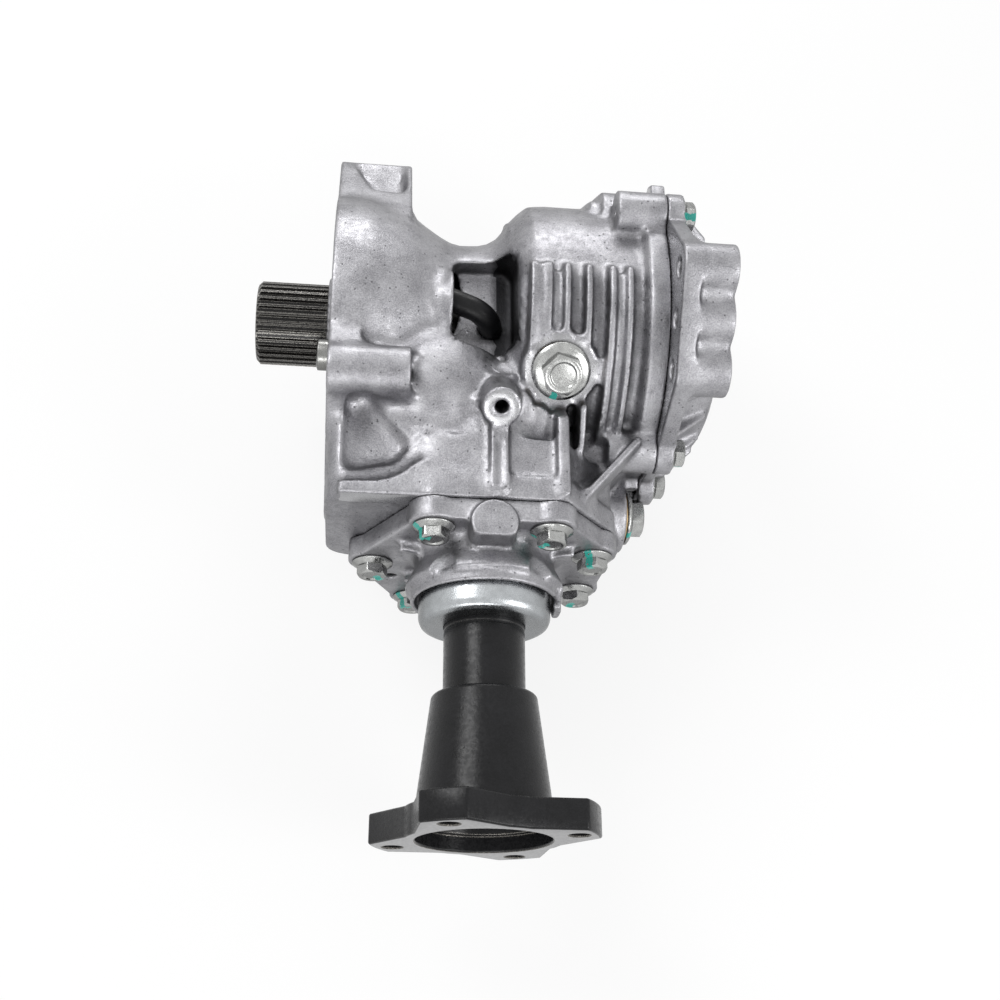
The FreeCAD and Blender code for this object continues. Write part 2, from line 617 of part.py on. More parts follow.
    # the flats above the filler and sensor bosses
    cuts.append(rod(seat, axis, FILL_BOSS_R + 0.5, 24))
    cuts.append(rod(sense, axis, SENSE_R + 0.5, 12))
    cuts.append(rod(drain, X_AXIS, PLUG_FLANGE_R + 0.6, 12))
    for y, z, depth in LUGS:
        cuts.append(rod(vec(0, y, z), X_AXIS, LUG_HOLE_R, depth))
    for y, z in DOWEL_POS:
        cuts.append(rod(vec(0, y, z), X_AXIS, DOWEL_R + DOWEL_STEP, DOWEL_L - DOWEL_OUT))
    # scoop in the forward lug
    scoop = [vec(3, 100, 22), vec(arm_depth - 3, 100, 22), vec(arm_depth - 3, 64, 22), vec(18, 66, 22)]
    hollow = Part.Face(Part.makePolygon(scoop + scoop[:1])).extrude(Z_AXIS * 40)
    cuts.append(hollow.makeFillet(3.0, [e for e in hollow.Edges if abs(e.tangentAt(e.FirstParameter).z) > 0.9]))
    # hose pocket
    pocket = Part.makeBox(POCKET_X[1] - POCKET_X[0], POCKET_Y[1] - POCKET_Y[0], 40,
                          vec(POCKET_X[0], POCKET_Y[0], POCKET_Z))
    upright = [edge for edge in pocket.Edges if abs(edge.tangentAt(edge.FirstParameter).z) > 0.9]
    cuts.append(pocket.makeFillet(7.0, upright))
    cuts.append(make_hose(0))
    # plug, sensor and bolt holes
    cuts.append(rod(seat, axis * -1, PLUG_R + BOLT_CLEAR, 40))
    cuts.append(rod(sense, axis * -1, SENSE_HOLE_R, 16))
    cuts.append(rod(drain, X_AXIS * -1, PLUG_R + BOLT_CLEAR, 44))
    for x, z in CARRIER_BOLTS:
        cuts.append(rod(vec(PINION_X + x, CARRIER_Y, z), Y_AXIS, BOLT_R + BOLT_CLEAR, 24))
    for degrees in COVER_BOLT_ANGLES:
        y, z = polar(COVER_BOLT_R, degrees)
        cuts.append(rod(vec(COVER_X, y, z), X_AXIS * -1, BOLT_R - 1 + BOLT_CLEAR, 24))
    return case.cut(cuts)


def make_hose(gap=BOLT_CLEAR):
    """Moulded elbow from the hose boss down into the floor of its pocket."""
    start = vec(*HOSE_START)
    turn = math.radians(HOSE_TURN_DEG)
    along = vec(math.cos(turn), math.sin(turn), 0)
    radius = HOSE_R - gap
    first = rod(start - along * (HOSE_SOCKET - gap), along, radius, HOSE_SOCKET + HOSE_RUN - gap)
    corner = start + along * HOSE_RUN
    section = Part.Face(Part.Wire(Part.Circle(corner, along, radius).toShape()))
    bend = section.revolve(corner - Z_AXIS * HOSE_BEND_R, along.cross(Z_AXIS * -1), 90)
    tail = rod(corner + along * HOSE_BEND_R - Z_AXIS * HOSE_BEND_R, Z_AXIS * -1, radius, 3.0 - gap)
    return first.fuse([bend, tail]).removeSplitter()


def pad_points():
    """Centres of the three bracket bosses as (Y, Z)."""
    out = polar(1, PAD_DIR_DEG)
    along = (out[1], -out[0])
    return [(out[0] * PAD_REACH + along[0] * (PAD_SHIFT + k * PAD_PITCH),
             out[1] * PAD_REACH + along[1] * (PAD_SHIFT + k * PAD_PITCH)) for k in (-1, 0, 1)]


def make_side_cover():
    row = pad_points()
    out = polar(1, PAD_DIR_DEG)
    bodies = [turned_x([(COVER_X, 0), (COVER_X, COVER_R), (COVER_X + COVER_T, COVER_R), (COVER_X + COVER_T + 3, 70),
                        (DOME_X - 8, DOME_R - 5), (DOME_X - 3, DOME_R - 8), (DOME_X, DOME_R - 14), (DOME_X, 0)])]
    bodies.append(rod(vec(COVER_X - SPIGOT_DEPTH, 0, 0), X_AXIS, CHAMBER_R - FIT_CLEAR, SPIGOT_DEPTH))
    for degrees in COVER_BOLT_ANGLES:
        y, z = polar(COVER_BOLT_R, degrees)
        bodies.append(rod(vec(COVER_X, y, z), X_AXIS, COVER_LUG_R, COVER_T + SEAT_T + 3))
    for k in range(COVER_RIBS):
        wire = Part.makePolygon([vec(COVER_X + 8, 48, -1.3), vec(COVER_X + 8, 78, -1.3), vec(COVER_X + 12, 78, -1.3),
                                 vec(DOME_X - 5, 63, -1.3), vec(DOME_X - 5, 48, -1.3), vec(COVER_X + 8, 48, -1.3)])
        web = Part.Face(wire).extrude(vec(0, 0, 2.6))
        web.rotate(vec(0, 0, 0), X_AXIS, 360.0 * (k + 0.5) / COVER_RIBS)
        bodies.append(web)
    # bracket pad: flat machined back, three bosses and the web that ties them to the dome
    bodies.append(slab_x([row[0], row[1], row[2], polar(68, 64), polar(72, 163)], PAD_BOSS_R, COVER_X, COVER_X + 9))
    bodies += [rod(vec(COVER_X, y, z), X_AXIS, PAD_BOSS_R, PAD_END_X - COVER_X) for y, z in row]
    bodies.append(slab_x([row[0], row[2], (row[2][0] - out[0] * 6, row[2][1] - out[1] * 6),
                          (row[0][0] - out[0] * 6, row[0][1] - out[1] * 6)], 8.5, COVER_X, PAD_END_X - 2))
    inner = [(y - out[0] * 32, z - out[1] * 32) for y, z in (row[2], row[0])]
    bodies.append(slab_x([row[0], row[2]] + inner, 7, COVER_X, COVER_X + 20))
    # upright ear beside the upper bolt
    bodies.append(slab_x([polar(70, 40), polar(84, 32), polar(84, 28), polar(70, 20)], 4, COVER_X, COVER_X + 8))
    cover = bodies[0].fuse(bodies[1:])
    seat = RIGHT_BEARING[1]
    seat_end = SHAFT_END_X
    cuts = [turned_x([(COVER_X - SPIGOT_DEPTH, 0), (COVER_X - SPIGOT_DEPTH, 58), (COVER_X - 1, 52), (RIGHT_BEARING_X, 52),
                      (RIGHT_BEARING_X, seat), (seat_end, seat), (seat_end, SHAFT_SEAL_OUT_R),
                      (DOME_X, SHAFT_SEAL_OUT_R), (DOME_X, 0)])]
    groove_x = COVER_X - 2 - 2 * CORD_R
    cuts.append(ring(vec(groove_x, 0, 0), X_AXIS, CHAMBER_R, CHAMBER_R - 2 * CORD_R, 2 * CORD_R))
    for degrees in COVER_BOLT_ANGLES:
        y, z = polar(COVER_BOLT_R, degrees)
        cuts.append(rod(vec(COVER_X, y, z), X_AXIS, BOLT_R - 1 + BOLT_CLEAR, COVER_T + SEAT_T))
        cuts.append(rod(vec(COVER_X + COVER_T + SEAT_T, y, z), X_AXIS, BOLT_FLANGE_R + 0.6, 20))
    cuts += [rod(vec(COVER_X, y, z), X_AXIS, PAD_HOLE_R, depth) for (y, z), depth in zip(row, PAD_HOLE_DEPTHS)]
    return cover.cut(cuts)


def make_carrier():
    top = CARRIER_Y
    bottom = CARRIER_Y - CARRIER_T
    bodies = [slab_y(CARRIER_BOLTS, CARRIER_LUG_R - 2, bottom, top)]
    for x, z in CARRIER_BOLTS:
        bodies.append(rod(vec(PINION_X + x, top, z), Y_AXIS * -1, CARRIER_LUG_R, CARRIER_T))
    nose_y = PINION_BACK_Y + CONE_SETBACK
    bodies.append(turned_y([(nose_y, 0), (nose_y, CARRIER_SPIGOT_R), (top, CARRIER_SPIGOT_R), (top, 46), (bottom, 41),
                            (bottom - 1.5, 37.5), (bottom - 5, 35.6), (bottom - 9, 36), (bottom - 13, 38),
                            (bottom - 16, CARRIER_NECK_R - 0.8), (CARRIER_NECK_Y + 0.6, CARRIER_NECK_R),
                            (CARRIER_NECK_Y, CARRIER_NECK_R - 1),
                            (CARRIER_NECK_Y, CARRIER_RIM_R), (CARRIER_RIM_Y, CARRIER_RIM_R), (CARRIER_RIM_Y, 0)]))
    # half-round pad between the near bolts, and ribs from the lugs to the neck
    pad_y = bottom - 2
    pad = rod(vec(PINION_X, pad_y, 30), Z_AXIS, PAD_DISC_R, 22)
    bodies.append(pad.common(Part.makeBox(2 * PAD_DISC_R, PAD_DISC_R + 6, 22, vec(PINION_X - PAD_DISC_R, pad_y - 6, 30))))
    bodies.append(Part.makeBox(15, 9, 20, vec(PINION_X - 7.5, pad_y - 7, 31)))
    for degrees in WEB_ANGLES:
        x, z = polar(1, degrees)
        bodies.append(rib(vec(PINION_X + 33 * x, bottom + 2, 33 * z), vec(PINION_X + 46 * x, bottom + 2, 46 * z),
                          3.4, Y_AXIS * -1, 7.5))
    # lip beside the drain slot
    bodies.append(turned_y([(CARRIER_NECK_Y, 0), (CARRIER_NECK_Y, 38.8), (CARRIER_RIM_Y - 4, 38.8), (CARRIER_RIM_Y - 4, 0)])
                  .common(Part.makeBox(9, 30, 16, vec(PINION_X + 32, CARRIER_RIM_Y - 10, -6))))
    carrier = bodies[0].fuse(bodies[1:])
    cup_y = HEAD_SMALL_Y + CUP_SETBACK
    tail_y = TAIL_BEARING_Y - CUP_SETBACK
    seal_end = PINION_SEAL_Y - SEAL_T
    cuts = [turned_y([(nose_y, 0), (nose_y, HEAD_BEARING[1]), (cup_y, HEAD_BEARING[1]), (cup_y, CARRIER_CORE_R),
                      (tail_y, CARRIER_CORE_R), (tail_y, TAIL_BEARING[1]), (seal_end, TAIL_BEARING[1]),
                      (seal_end, CARRIER_RIM_BORE), (CARRIER_RIM_Y - 4, CARRIER_RIM_BORE), (CARRIER_RIM_Y - 4, 0)])]
    cuts.append(ring(vec(PINION_X, top + 3, 0), Y_AXIS, CARRIER_SPIGOT_R, CARRIER_SPIGOT_R - 2 * CORD_R, 2 * CORD_R))
    cuts.append(Part.makeBox(14, 9, 5, vec(PINION_X + 30, CARRIER_RIM_Y - 1, 9)))
    for x, z in CARRIER_BOLTS:
        cuts.append(rod(vec(PINION_X + x, top, z), Y_AXIS * -1, BOLT_R + 0.4, CARRIER_T))
        cuts.append(rod(vec(PINION_X + x, bottom, z), Y_AXIS * -1, BOLT_FLANGE_R + 0.6, 20))
    cuts.append(rod(vec(PINION_X - 47, top, -32), Y_AXIS * -1, 3.4, CARRIER_T))
    return carrier.cut(cuts)


def spline_bar(start, direction, teeth, module, length, lead):
    """Splined bar with chamfered ends."""
    outer = module * (teeth + 1) / 2
    root = module * (teeth - 1.2) / 2
    edges = []
    points = []
    for i in range(teeth):
        for share, radius in ((-0.25, root), (-0.14, outer), (0.14, outer), (0.25, root)):
            angle = 2 * math.pi * (i + share) / teeth
            points.append(vec(radius * math.cos(angle), radius * math.sin(angle), 0))
    face = Part.Face(Part.makePolygon(points + points[:1]))
    bar = face.extrude(Z_AXIS * length)
    cone = Part.makeCone(outer - lead, outer, lead, vec(0, 0, 0), Z_AXIS)
    body = cone.fuse(rod(Z_AXIS * lead, Z_AXIS, outer, length - lead))
    return placed(bar.common(body), start, direction)


def make_input_shaft():
    left_shoulder = LEFT_BEARING_X + LEFT_BEARING[2] - CONE_SETBACK
    right_shoulder = RIGHT_BEARING_X + CONE_SETBACK
    gear_end = GEAR_SEAT_X + GEAR_FLANGE_T
    spline_l = -SPLINE_X0 - 2.0
    shaft = turned_x([(SPLINE_X0 + spline_l - 4, 0), (SPLINE_X0 + spline_l - 4, 20), (-2.0, SHAFT_SEAL_R - 0.6),
                      (0, SHAFT_SEAL_R), (LEFT_BEARING_X - 3, SHAFT_SEAL_R), (LEFT_BEARING_X, LEFT_BEARING[0]),
                      (left_shoulder, LEFT_BEARING[0]), (left_shoulder, 28.5), (GEAR_SEAT_X - 14, 27),
                      (GEAR_SEAT_X - 12, GEAR_PILOT_R), (GEAR_SEAT_X, GEAR_PILOT_R), (GEAR_SEAT_X, GEAR_FLANGE_R),
                      (gear_end, GEAR_FLANGE_R), (gear_end, 38), (gear_end + 8, 31), (right_shoulder, 30.5),
                      (right_shoulder, RIGHT_BEARING[0]), (SHAFT_END_X, RIGHT_BEARING[0]), (SHAFT_END_X, 0)])
    spline = spline_bar(vec(SPLINE_X0, 0, 0), X_AXIS, SPLINE_TEETH, SPLINE_MODULE, spline_l, 2.0)
    bore = rod(vec(SPLINE_X0, 0, 0), X_AXIS, SHAFT_BORE_R, SHAFT_END_X - SPLINE_X0)
    mouth = Part.makeCone(SHAFT_BORE_R + 1.5, SHAFT_BORE_R, 1.5, vec(SPLINE_X0, 0, 0), X_AXIS)
    holes = [bolt_circle(k, GEAR_SEAT_X, GEAR_FLANGE_T, 4.0 + BOLT_CLEAR) for k in range(GEAR_BOLTS)]
    return shaft.fuse(spline).cut([bore, mouth] + holes)


def bolt_circle(k, x, length, radius):
    y, z = polar(GEAR_BOLT_PCD / 2, 360.0 * k / GEAR_BOLTS)
    return rod(vec(x, y, z), X_AXIS, radius, length)


def make_ring_gear():
    """Ring gear with its teeth towards the pinion; the cone apex lies on the pinion axis."""
    back = GEAR_SEAT_X - PINION_X
    tail = [(GEAR_PILOT_R, cone_point("ring", CONE_DISTANCE - FACE_WIDTH, -3)[1]), (GEAR_PILOT_R, back),
            (RING_PITCH_R - 1, back), (RING_PITCH_R + 0.5, back - 2)]
    gear = toothed("ring", gear_blank("ring", tail), 1, 180.0 / RING_TEETH)
    gear = placed(gear, PINION_O, X_AXIS)
    holes = [bolt_circle(k, GEAR_SEAT_X - 12, 12, 4.0 + BOLT_CLEAR) for k in range(GEAR_BOLTS)]
    return gear.cut(holes)


def make_gear_bolts():
    bolts = []
    for k in range(GEAR_BOLTS):
        y, z = polar(GEAR_BOLT_PCD / 2, 360.0 * k / GEAR_BOLTS)
        seat = vec(GEAR_SEAT_X + GEAR_FLANGE_T, y, z)
        bolts.append(hexagon(seat, X_AXIS, 12.0, 5.5).fuse(rod(seat, X_AXIS * -1, 4.0, GEAR_FLANGE_T + 10)))
    return Part.makeCompound(bolts)


def make_drive_pinion():
    """Bevel pinion in one piece with its stepped, splined and threaded shaft."""
    head_r = cone_point("pinion", CONE_DISTANCE, -1.2 * MODULE)[0]
    nose = cone_point("pinion", CONE_DISTANCE - FACE_WIDTH, -1.2 * MODULE)
    tail = [(0, nose[1]), (0, -PINION_BACK_Y), (head_r - 1.5, -PINION_BACK_Y)]
    gear = toothed("pinion", gear_blank("pinion", tail), -1, 180.0 / PINION_TEETH)
    gear = placed(gear, PINION_O, Y_AXIS * -1)
    shaft = turned_y([(PINION_BACK_Y + 2, 0), (PINION_BACK_Y + 2, HEAD_BEARING[0]), (SPACER_STEP_Y, HEAD_BEARING[0]),
                      (SPACER_STEP_Y - 2.5, TAIL_BEARING[0]), (HUB_Y, TAIL_BEARING[0]), (HUB_Y, HUB_BORE_R),
                      (NUT_SEAT_Y, HUB_BORE_R), (NUT_SEAT_Y, THREAD_R), (NUT_SEAT_Y - THREAD_L, THREAD_R),
                      (NUT_SEAT_Y - THREAD_L, 0)])
    return gear.fuse(shaft)


def make_spacer():
    """Collapsible spacer between the two cones, with its bulge at the step of the shaft."""
    step = SPACER_STEP_Y
    big = HEAD_BEARING[0] + 0.2
    small = TAIL_BEARING[0] + 0.3
    wall = 2.6
    return turned_y([(HEAD_SMALL_Y, big), (HEAD_SMALL_Y, big + wall), (step + 5, big + wall), (step + 1, big + wall + 1.6),
                     (step - 4, big + wall), (step - 9, small + wall), (TAIL_BEARING_Y, small + wall),
                     (TAIL_BEARING_Y, small), (step - 7, small), (step - 1, big), (HEAD_SMALL_Y, big)][:-1])


def make_companion_flange():
    plate_top = PLATE_Y + PLATE_T
    body = turned_y([(HUB_Y, 0), (HUB_Y, TUBE_R - 1), (HUB_Y - 1, TUBE_R), (DUST_Y - 2.2, TUBE_R), (DUST_Y - 2.5, TUBE_R - 0.3),
                     (DUST_Y - 3.1, TUBE_R - 0.3), (DUST_Y - 3.4, TUBE_R), (SHOULDER_Y, TUBE_R), (SHOULDER_Y, SHOULDER_R - 1.2),
                     (SHOULDER_Y - 1.2, SHOULDER_R), (plate_top, CONE_END_R), (plate_top, 0)])
    outline = []
    half = math.asin(LOBE_HALF_W / LOBE_END_R)
    waist = math.radians(WAIST_HALF_DEG)

    def at(radius, angle):
        return vec(PINION_X + radius * math.cos(angle), PLATE_Y, radius * math.sin(angle))

    for k in range(4):
        lobe = math.radians(LOBE_TURN + 90 * k)
        dip = lobe + math.pi / 4
        outline.append(Part.Arc(at(LOBE_END_R, lobe - half), at(LOBE_END_R, lobe), at(LOBE_END_R, lobe + half)).toShape())
        outline.append(Part.LineSegment(at(LOBE_END_R, lobe + half), at(WAIST_R, dip - waist)).toShape())
        outline.append(Part.Arc(at(WAIST_R, dip - waist), at(WAIST_R, dip), at(WAIST_R, dip + waist)).toShape())
        outline.append(Part.LineSegment(at(WAIST_R, dip + waist), at(LOBE_END_R, lobe + math.pi / 2 - half)).toShape())
    plate = Part.Face(Part.Wire(outline)).extrude(Y_AXIS * PLATE_T)
    corners = [e for e in plate.Edges if abs(e.tangentAt(e.FirstParameter).y) > 0.9
               and math.hypot(e.Vertexes[0].X - PINION_X, e.Vertexes[0].Z) > LOBE_END_R - 1]
    plate = plate.makeFillet(1.6, corners)
    cuts = [turned_y([(HUB_Y, 0), (HUB_Y, HUB_BORE_R), (NUT_SEAT_Y, HUB_BORE_R), (NUT_SEAT_Y, NUT_RECESS_R),
                      (SHOULDER_Y - 8, NUT_RECESS_R), (plate_top + 2, PILOT_R - 5), (PLATE_Y + PILOT_L, PILOT_R - 4),
                      (PLATE_Y + PILOT_L, PILOT_R), (PLATE_Y, PILOT_R), (PLATE_Y, 0)])]
    for k in range(4):
        hole = at(FLANGE_PCD / 2, math.radians(LOBE_TURN + 90 * k))
        cuts.append(rod(hole, Y_AXIS, FLANGE_HOLE_R, PLATE_T))
    return body.fuse(plate).cut(cuts)


def make_dust_cover():
    """Pressed cup on the companion flange, open towards the carrier."""
    top = DUST_Y + DUST_L
    return turned_y([(DUST_Y, TUBE_R), (DUST_Y, DUST_R - 4), (DUST_Y + 1.2, DUST_R - 1.2), (DUST_Y + 4, DUST_R), (top, DUST_R),
                     (top, DUST_R - DUST_WALL), (DUST_Y + 4.5, DUST_R - DUST_WALL), (DUST_Y + 2.4, DUST_R - DUST_WALL - 1.1),
                     (DUST_Y + DUST_WALL, DUST_R - 4.6), (DUST_Y + DUST_WALL, TUBE_R)])


def lip_seal(start, direction, outer, inner):
    """Shaft seal: cased rim, flat face and a lip that runs on the shaft."""
    profile = [(outer, 0), (outer, SEAL_T), (outer - 1.5, SEAL_T), (outer - 1.5, 2.5), (inner + 2.5, 2.5),
               (inner + 1.5, SEAL_T - 1.5), (inner, SEAL_T - 2.5), (inner + 0.6, 1.2), (inner + 0.6, 0)]
    wire = Part.makePolygon([vec(r, 0, z) for r, z in profile + profile[:1]])
    return placed(Part.Face(wire).revolve(vec(0, 0, 0), Z_AXIS, 360), start, direction)


def o_ring(centre, direction, outer):
    """O-ring pressed flat in its groove."""
    return ring(centre, direction, outer, outer - 2 * CORD_R, 2 * CORD_R)


def dowel_ring(y, z):
    """Hollow dowel: one half is pressed into the case, the other stands out of the joint face."""
    pressed = ring(vec(0, y, z), X_AXIS, DOWEL_R + DOWEL_STEP, DOWEL_BORE_R, DOWEL_L - DOWEL_OUT)
    return pressed.fuse(ring(vec(-DOWEL_OUT, y, z), X_AXIS, DOWEL_R, DOWEL_BORE_R, DOWEL_OUT))


def make_nut():
    seat = vec(PINION_X, NUT_SEAT_Y - WASHER_T, 0)
    return hexagon(seat, Y_AXIS * -1, NUT_AF, NUT_H).cut(rod(seat, Y_AXIS * -1, THREAD_R, NUT_H))


def build():
    fill = fill_axis()
    seat = vec(*FILL_SEAT)
    drain = vec(*DRAIN_POS)
    cover_bolts = []
    for degrees in COVER_BOLT_ANGLES:
        y, z = polar(COVER_BOLT_R, degrees)
        cover_bolts.append(flange_bolt(vec(COVER_X + COVER_T + SEAT_T, y, z), X_AXIS, COVER_BOLT_L, BOLT_R - 1))
    carrier_bolts = [flange_bolt(vec(PINION_X + x, CARRIER_Y - CARRIER_T, z), Y_AXIS * -1, CARRIER_BOLT_L)
                     for x, z in CARRIER_BOLTS]
    dowels = [dowel_ring(y, z) for y, z in DOWEL_POS]
    nodes = {
        "main_case": make_main_case(),
        "side_cover": make_side_cover(),
        "pinion_carrier": make_carrier(),
        "input_shaft": make_input_shaft(),
        "ring_gear": make_ring_gear(),
        "ring_gear_bolts": make_gear_bolts(),
        "drive_pinion": make_drive_pinion(),
        "collapsible_spacer": make_spacer(),
        "companion_flange": make_companion_flange(),
        "dust_cover": make_dust_cover(),
        "flange_nut": make_nut(),
        "flange_washer": ring(vec(PINION_X, NUT_SEAT_Y, 0), Y_AXIS * -1, NUT_RECESS_R - 0.4, THREAD_R, WASHER_T),
        "filler_plug": plug(seat, fill),
        "filler_gasket": gasket(seat, fill),
        "drain_plug": plug(drain, X_AXIS),
        "drain_gasket": gasket(drain, X_AXIS),
        "breather_hose": make_hose(),
        "cover_bolts": Part.makeCompound(cover_bolts),
        "carrier_bolts": Part.makeCompound(carrier_bolts),
        "dowel_rings": Part.makeCompound(dowels),
        "input_seal": lip_seal(vec(INPUT_SEAL_X, 0, 0), X_AXIS, INPUT_SEAL_R, SHAFT_SEAL_R + FIT_CLEAR),
        "driveshaft_seal": lip_seal(vec(DOME_X, 0, 0), X_AXIS * -1, SHAFT_SEAL_OUT_R, SHAFT_SEAL_IN_R),
        "pinion_seal": lip_seal(vec(PINION_X, PINION_SEAL_Y - SEAL_T, 0), Y_AXIS, TAIL_BEARING[1], TUBE_R + FIT_CLEAR),
        "cover_o_ring": o_ring(vec(COVER_X - 2 - 2 * CORD_R, 0, 0), X_AXIS, CHAMBER_R),
        "carrier_o_ring": o_ring(vec(PINION_X, CARRIER_Y + 3, 0), Y_AXIS, CARRIER_SPIGOT_R),
        "right_shim": ring(vec(SHAFT_END_X, 0, 0), X_AXIS * -1, RIGHT_BEARING[1], 36, CUP_SETBACK),
    }
    for name, (spec, start, direction) in BEARINGS.items():
        nodes[name + "_bearing_cup"] = placed(bearing_cup(spec), start, direction)
        nodes[name + "_bearing_cone"] = placed(bearing_cone(spec), start, direction)
        nodes[name + "_bearing_rollers"] = placed(bearing_rollers(spec), start, direction)
        nodes[name + "_bearing_cage"] = placed(bearing_cage(spec), start, direction)
    return nodes


os.makedirs("parts", exist_ok=True)
for node, shape in build().items():
    print(node, len(shape.Solids), shape.isValid(), round(shape.Volume / 1000, 2))
    shape.exportStep("parts/" + node + ".step")
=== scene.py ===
"""Dressed model of a transverse power-transfer unit: castings, shafts, fasteners, finishes and light."""
import json
import math

import bmesh
import bpy
import numpy as np
import openvdb as vdb
from mathutils import Matrix, Vector


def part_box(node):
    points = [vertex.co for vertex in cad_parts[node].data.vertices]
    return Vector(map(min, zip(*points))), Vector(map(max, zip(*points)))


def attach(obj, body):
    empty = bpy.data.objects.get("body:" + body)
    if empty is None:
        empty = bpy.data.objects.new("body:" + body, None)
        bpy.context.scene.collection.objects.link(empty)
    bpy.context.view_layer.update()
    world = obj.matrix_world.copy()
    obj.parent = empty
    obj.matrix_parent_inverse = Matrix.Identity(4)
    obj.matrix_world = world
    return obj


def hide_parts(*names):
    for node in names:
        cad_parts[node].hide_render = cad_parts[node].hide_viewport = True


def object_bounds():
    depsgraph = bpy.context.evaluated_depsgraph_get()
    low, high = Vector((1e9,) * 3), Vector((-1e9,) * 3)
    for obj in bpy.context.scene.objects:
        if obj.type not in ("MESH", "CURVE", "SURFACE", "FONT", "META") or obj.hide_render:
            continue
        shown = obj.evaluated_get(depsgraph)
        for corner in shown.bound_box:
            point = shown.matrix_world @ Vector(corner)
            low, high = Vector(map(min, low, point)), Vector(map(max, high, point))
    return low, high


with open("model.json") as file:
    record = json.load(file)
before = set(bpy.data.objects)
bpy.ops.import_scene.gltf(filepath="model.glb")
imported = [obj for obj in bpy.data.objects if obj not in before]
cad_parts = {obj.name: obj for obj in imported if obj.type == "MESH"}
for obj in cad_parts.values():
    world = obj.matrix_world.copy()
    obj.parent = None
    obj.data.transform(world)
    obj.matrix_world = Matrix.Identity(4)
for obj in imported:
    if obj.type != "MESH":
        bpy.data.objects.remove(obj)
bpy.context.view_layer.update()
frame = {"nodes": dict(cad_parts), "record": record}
NODES = frame["nodes"]
MOUNTS = {mount["name"]: mount for mount in frame["record"]["mounts"]}
MM = 0.001
X_AXIS = Vector((1, 0, 0))
Y_AXIS = Vector((0, 1, 0))
Z_AXIS = Vector((0, 0, 1))

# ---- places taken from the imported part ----
PINION_X = MOUNTS["propshaft_bolts"]["pos_m"][0]
PLATE_Y = MOUNTS["propshaft_bolts"]["pos_m"][1]
BOLT_CIRCLE_R = MOUNTS["propshaft_bolts"]["dims"]["pcd_mm"] / 2 * MM
PLATE_HOLE_R = MOUNTS["propshaft_bolts"]["dims"]["hole_r_mm"] * MM
PILOT_R = MOUNTS["propshaft_pilot"]["dims"]["r_mm"] * MM
PILOT_L = MOUNTS["propshaft_pilot"]["dims"]["length_mm"] * MM
COVER_X = MOUNTS["bracket_hole_1"]["pos_m"][0]
CARRIER_BOLT_REACH = 21 * MM     # how far the carrier bolts go into the main case
CARRIER_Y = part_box("carrier_bolts")[1].y - CARRIER_BOLT_REACH


# ---- node tools ----
def add(tree, kind, inputs=None, **settings):
    """Adds a shader node; an input takes a value or another node's socket."""
    node = tree.nodes.new("ShaderNode" + kind)
    for key, value in settings.items():
        setattr(node, key, value)
    for key, value in (inputs or {}).items():
        if isinstance(value, bpy.types.NodeSocket):
            tree.links.new(value, node.inputs[key])
        else:
            node.inputs[key].default_value = value
    return node


def shader_group(name, inputs, outputs):
    """New shader group; inputs give each socket its kind and value."""
    tree = bpy.data.node_groups.new(name, "ShaderNodeTree")
    for label, (kind, value) in inputs.items():
        socket = tree.interface.new_socket(label, in_out="INPUT", socket_type="NodeSocket" + kind)
        socket.default_value = value
    for label, kind in outputs.items():
        tree.interface.new_socket(label, in_out="OUTPUT", socket_type="NodeSocket" + kind)
    return tree, tree.nodes.new("NodeGroupInput").outputs, tree.nodes.new("NodeGroupOutput").inputs


def maths(tree, operation, *values, clamp=False):
    """Output of a Math node on values or sockets."""
    node = tree.nodes.new("ShaderNodeMath")
    node.operation = operation
    node.use_clamp = clamp
    for socket, value in zip(node.inputs, values):
        if isinstance(value, bpy.types.NodeSocket):
            tree.links.new(value, socket)
        else:
            socket.default_value = value
    return node.outputs[0]


def stepped(tree, value, low, high):
    """Smooth step of value between low and high."""
    inputs = {"Value": value, "From Min": low, "From Max": high}
    return add(tree, "MapRange", inputs, interpolation_type="SMOOTHSTEP").outputs["Result"]


def noise(tree, place, scale, detail=3.0, roughness=0.55):
    """Noise of the given scale at place, from 0 to 1."""
    node = add(tree, "TexNoise", {"Vector": place, "Scale": scale, "Detail": detail, "Roughness": roughness})
    return node.outputs["Fac"]


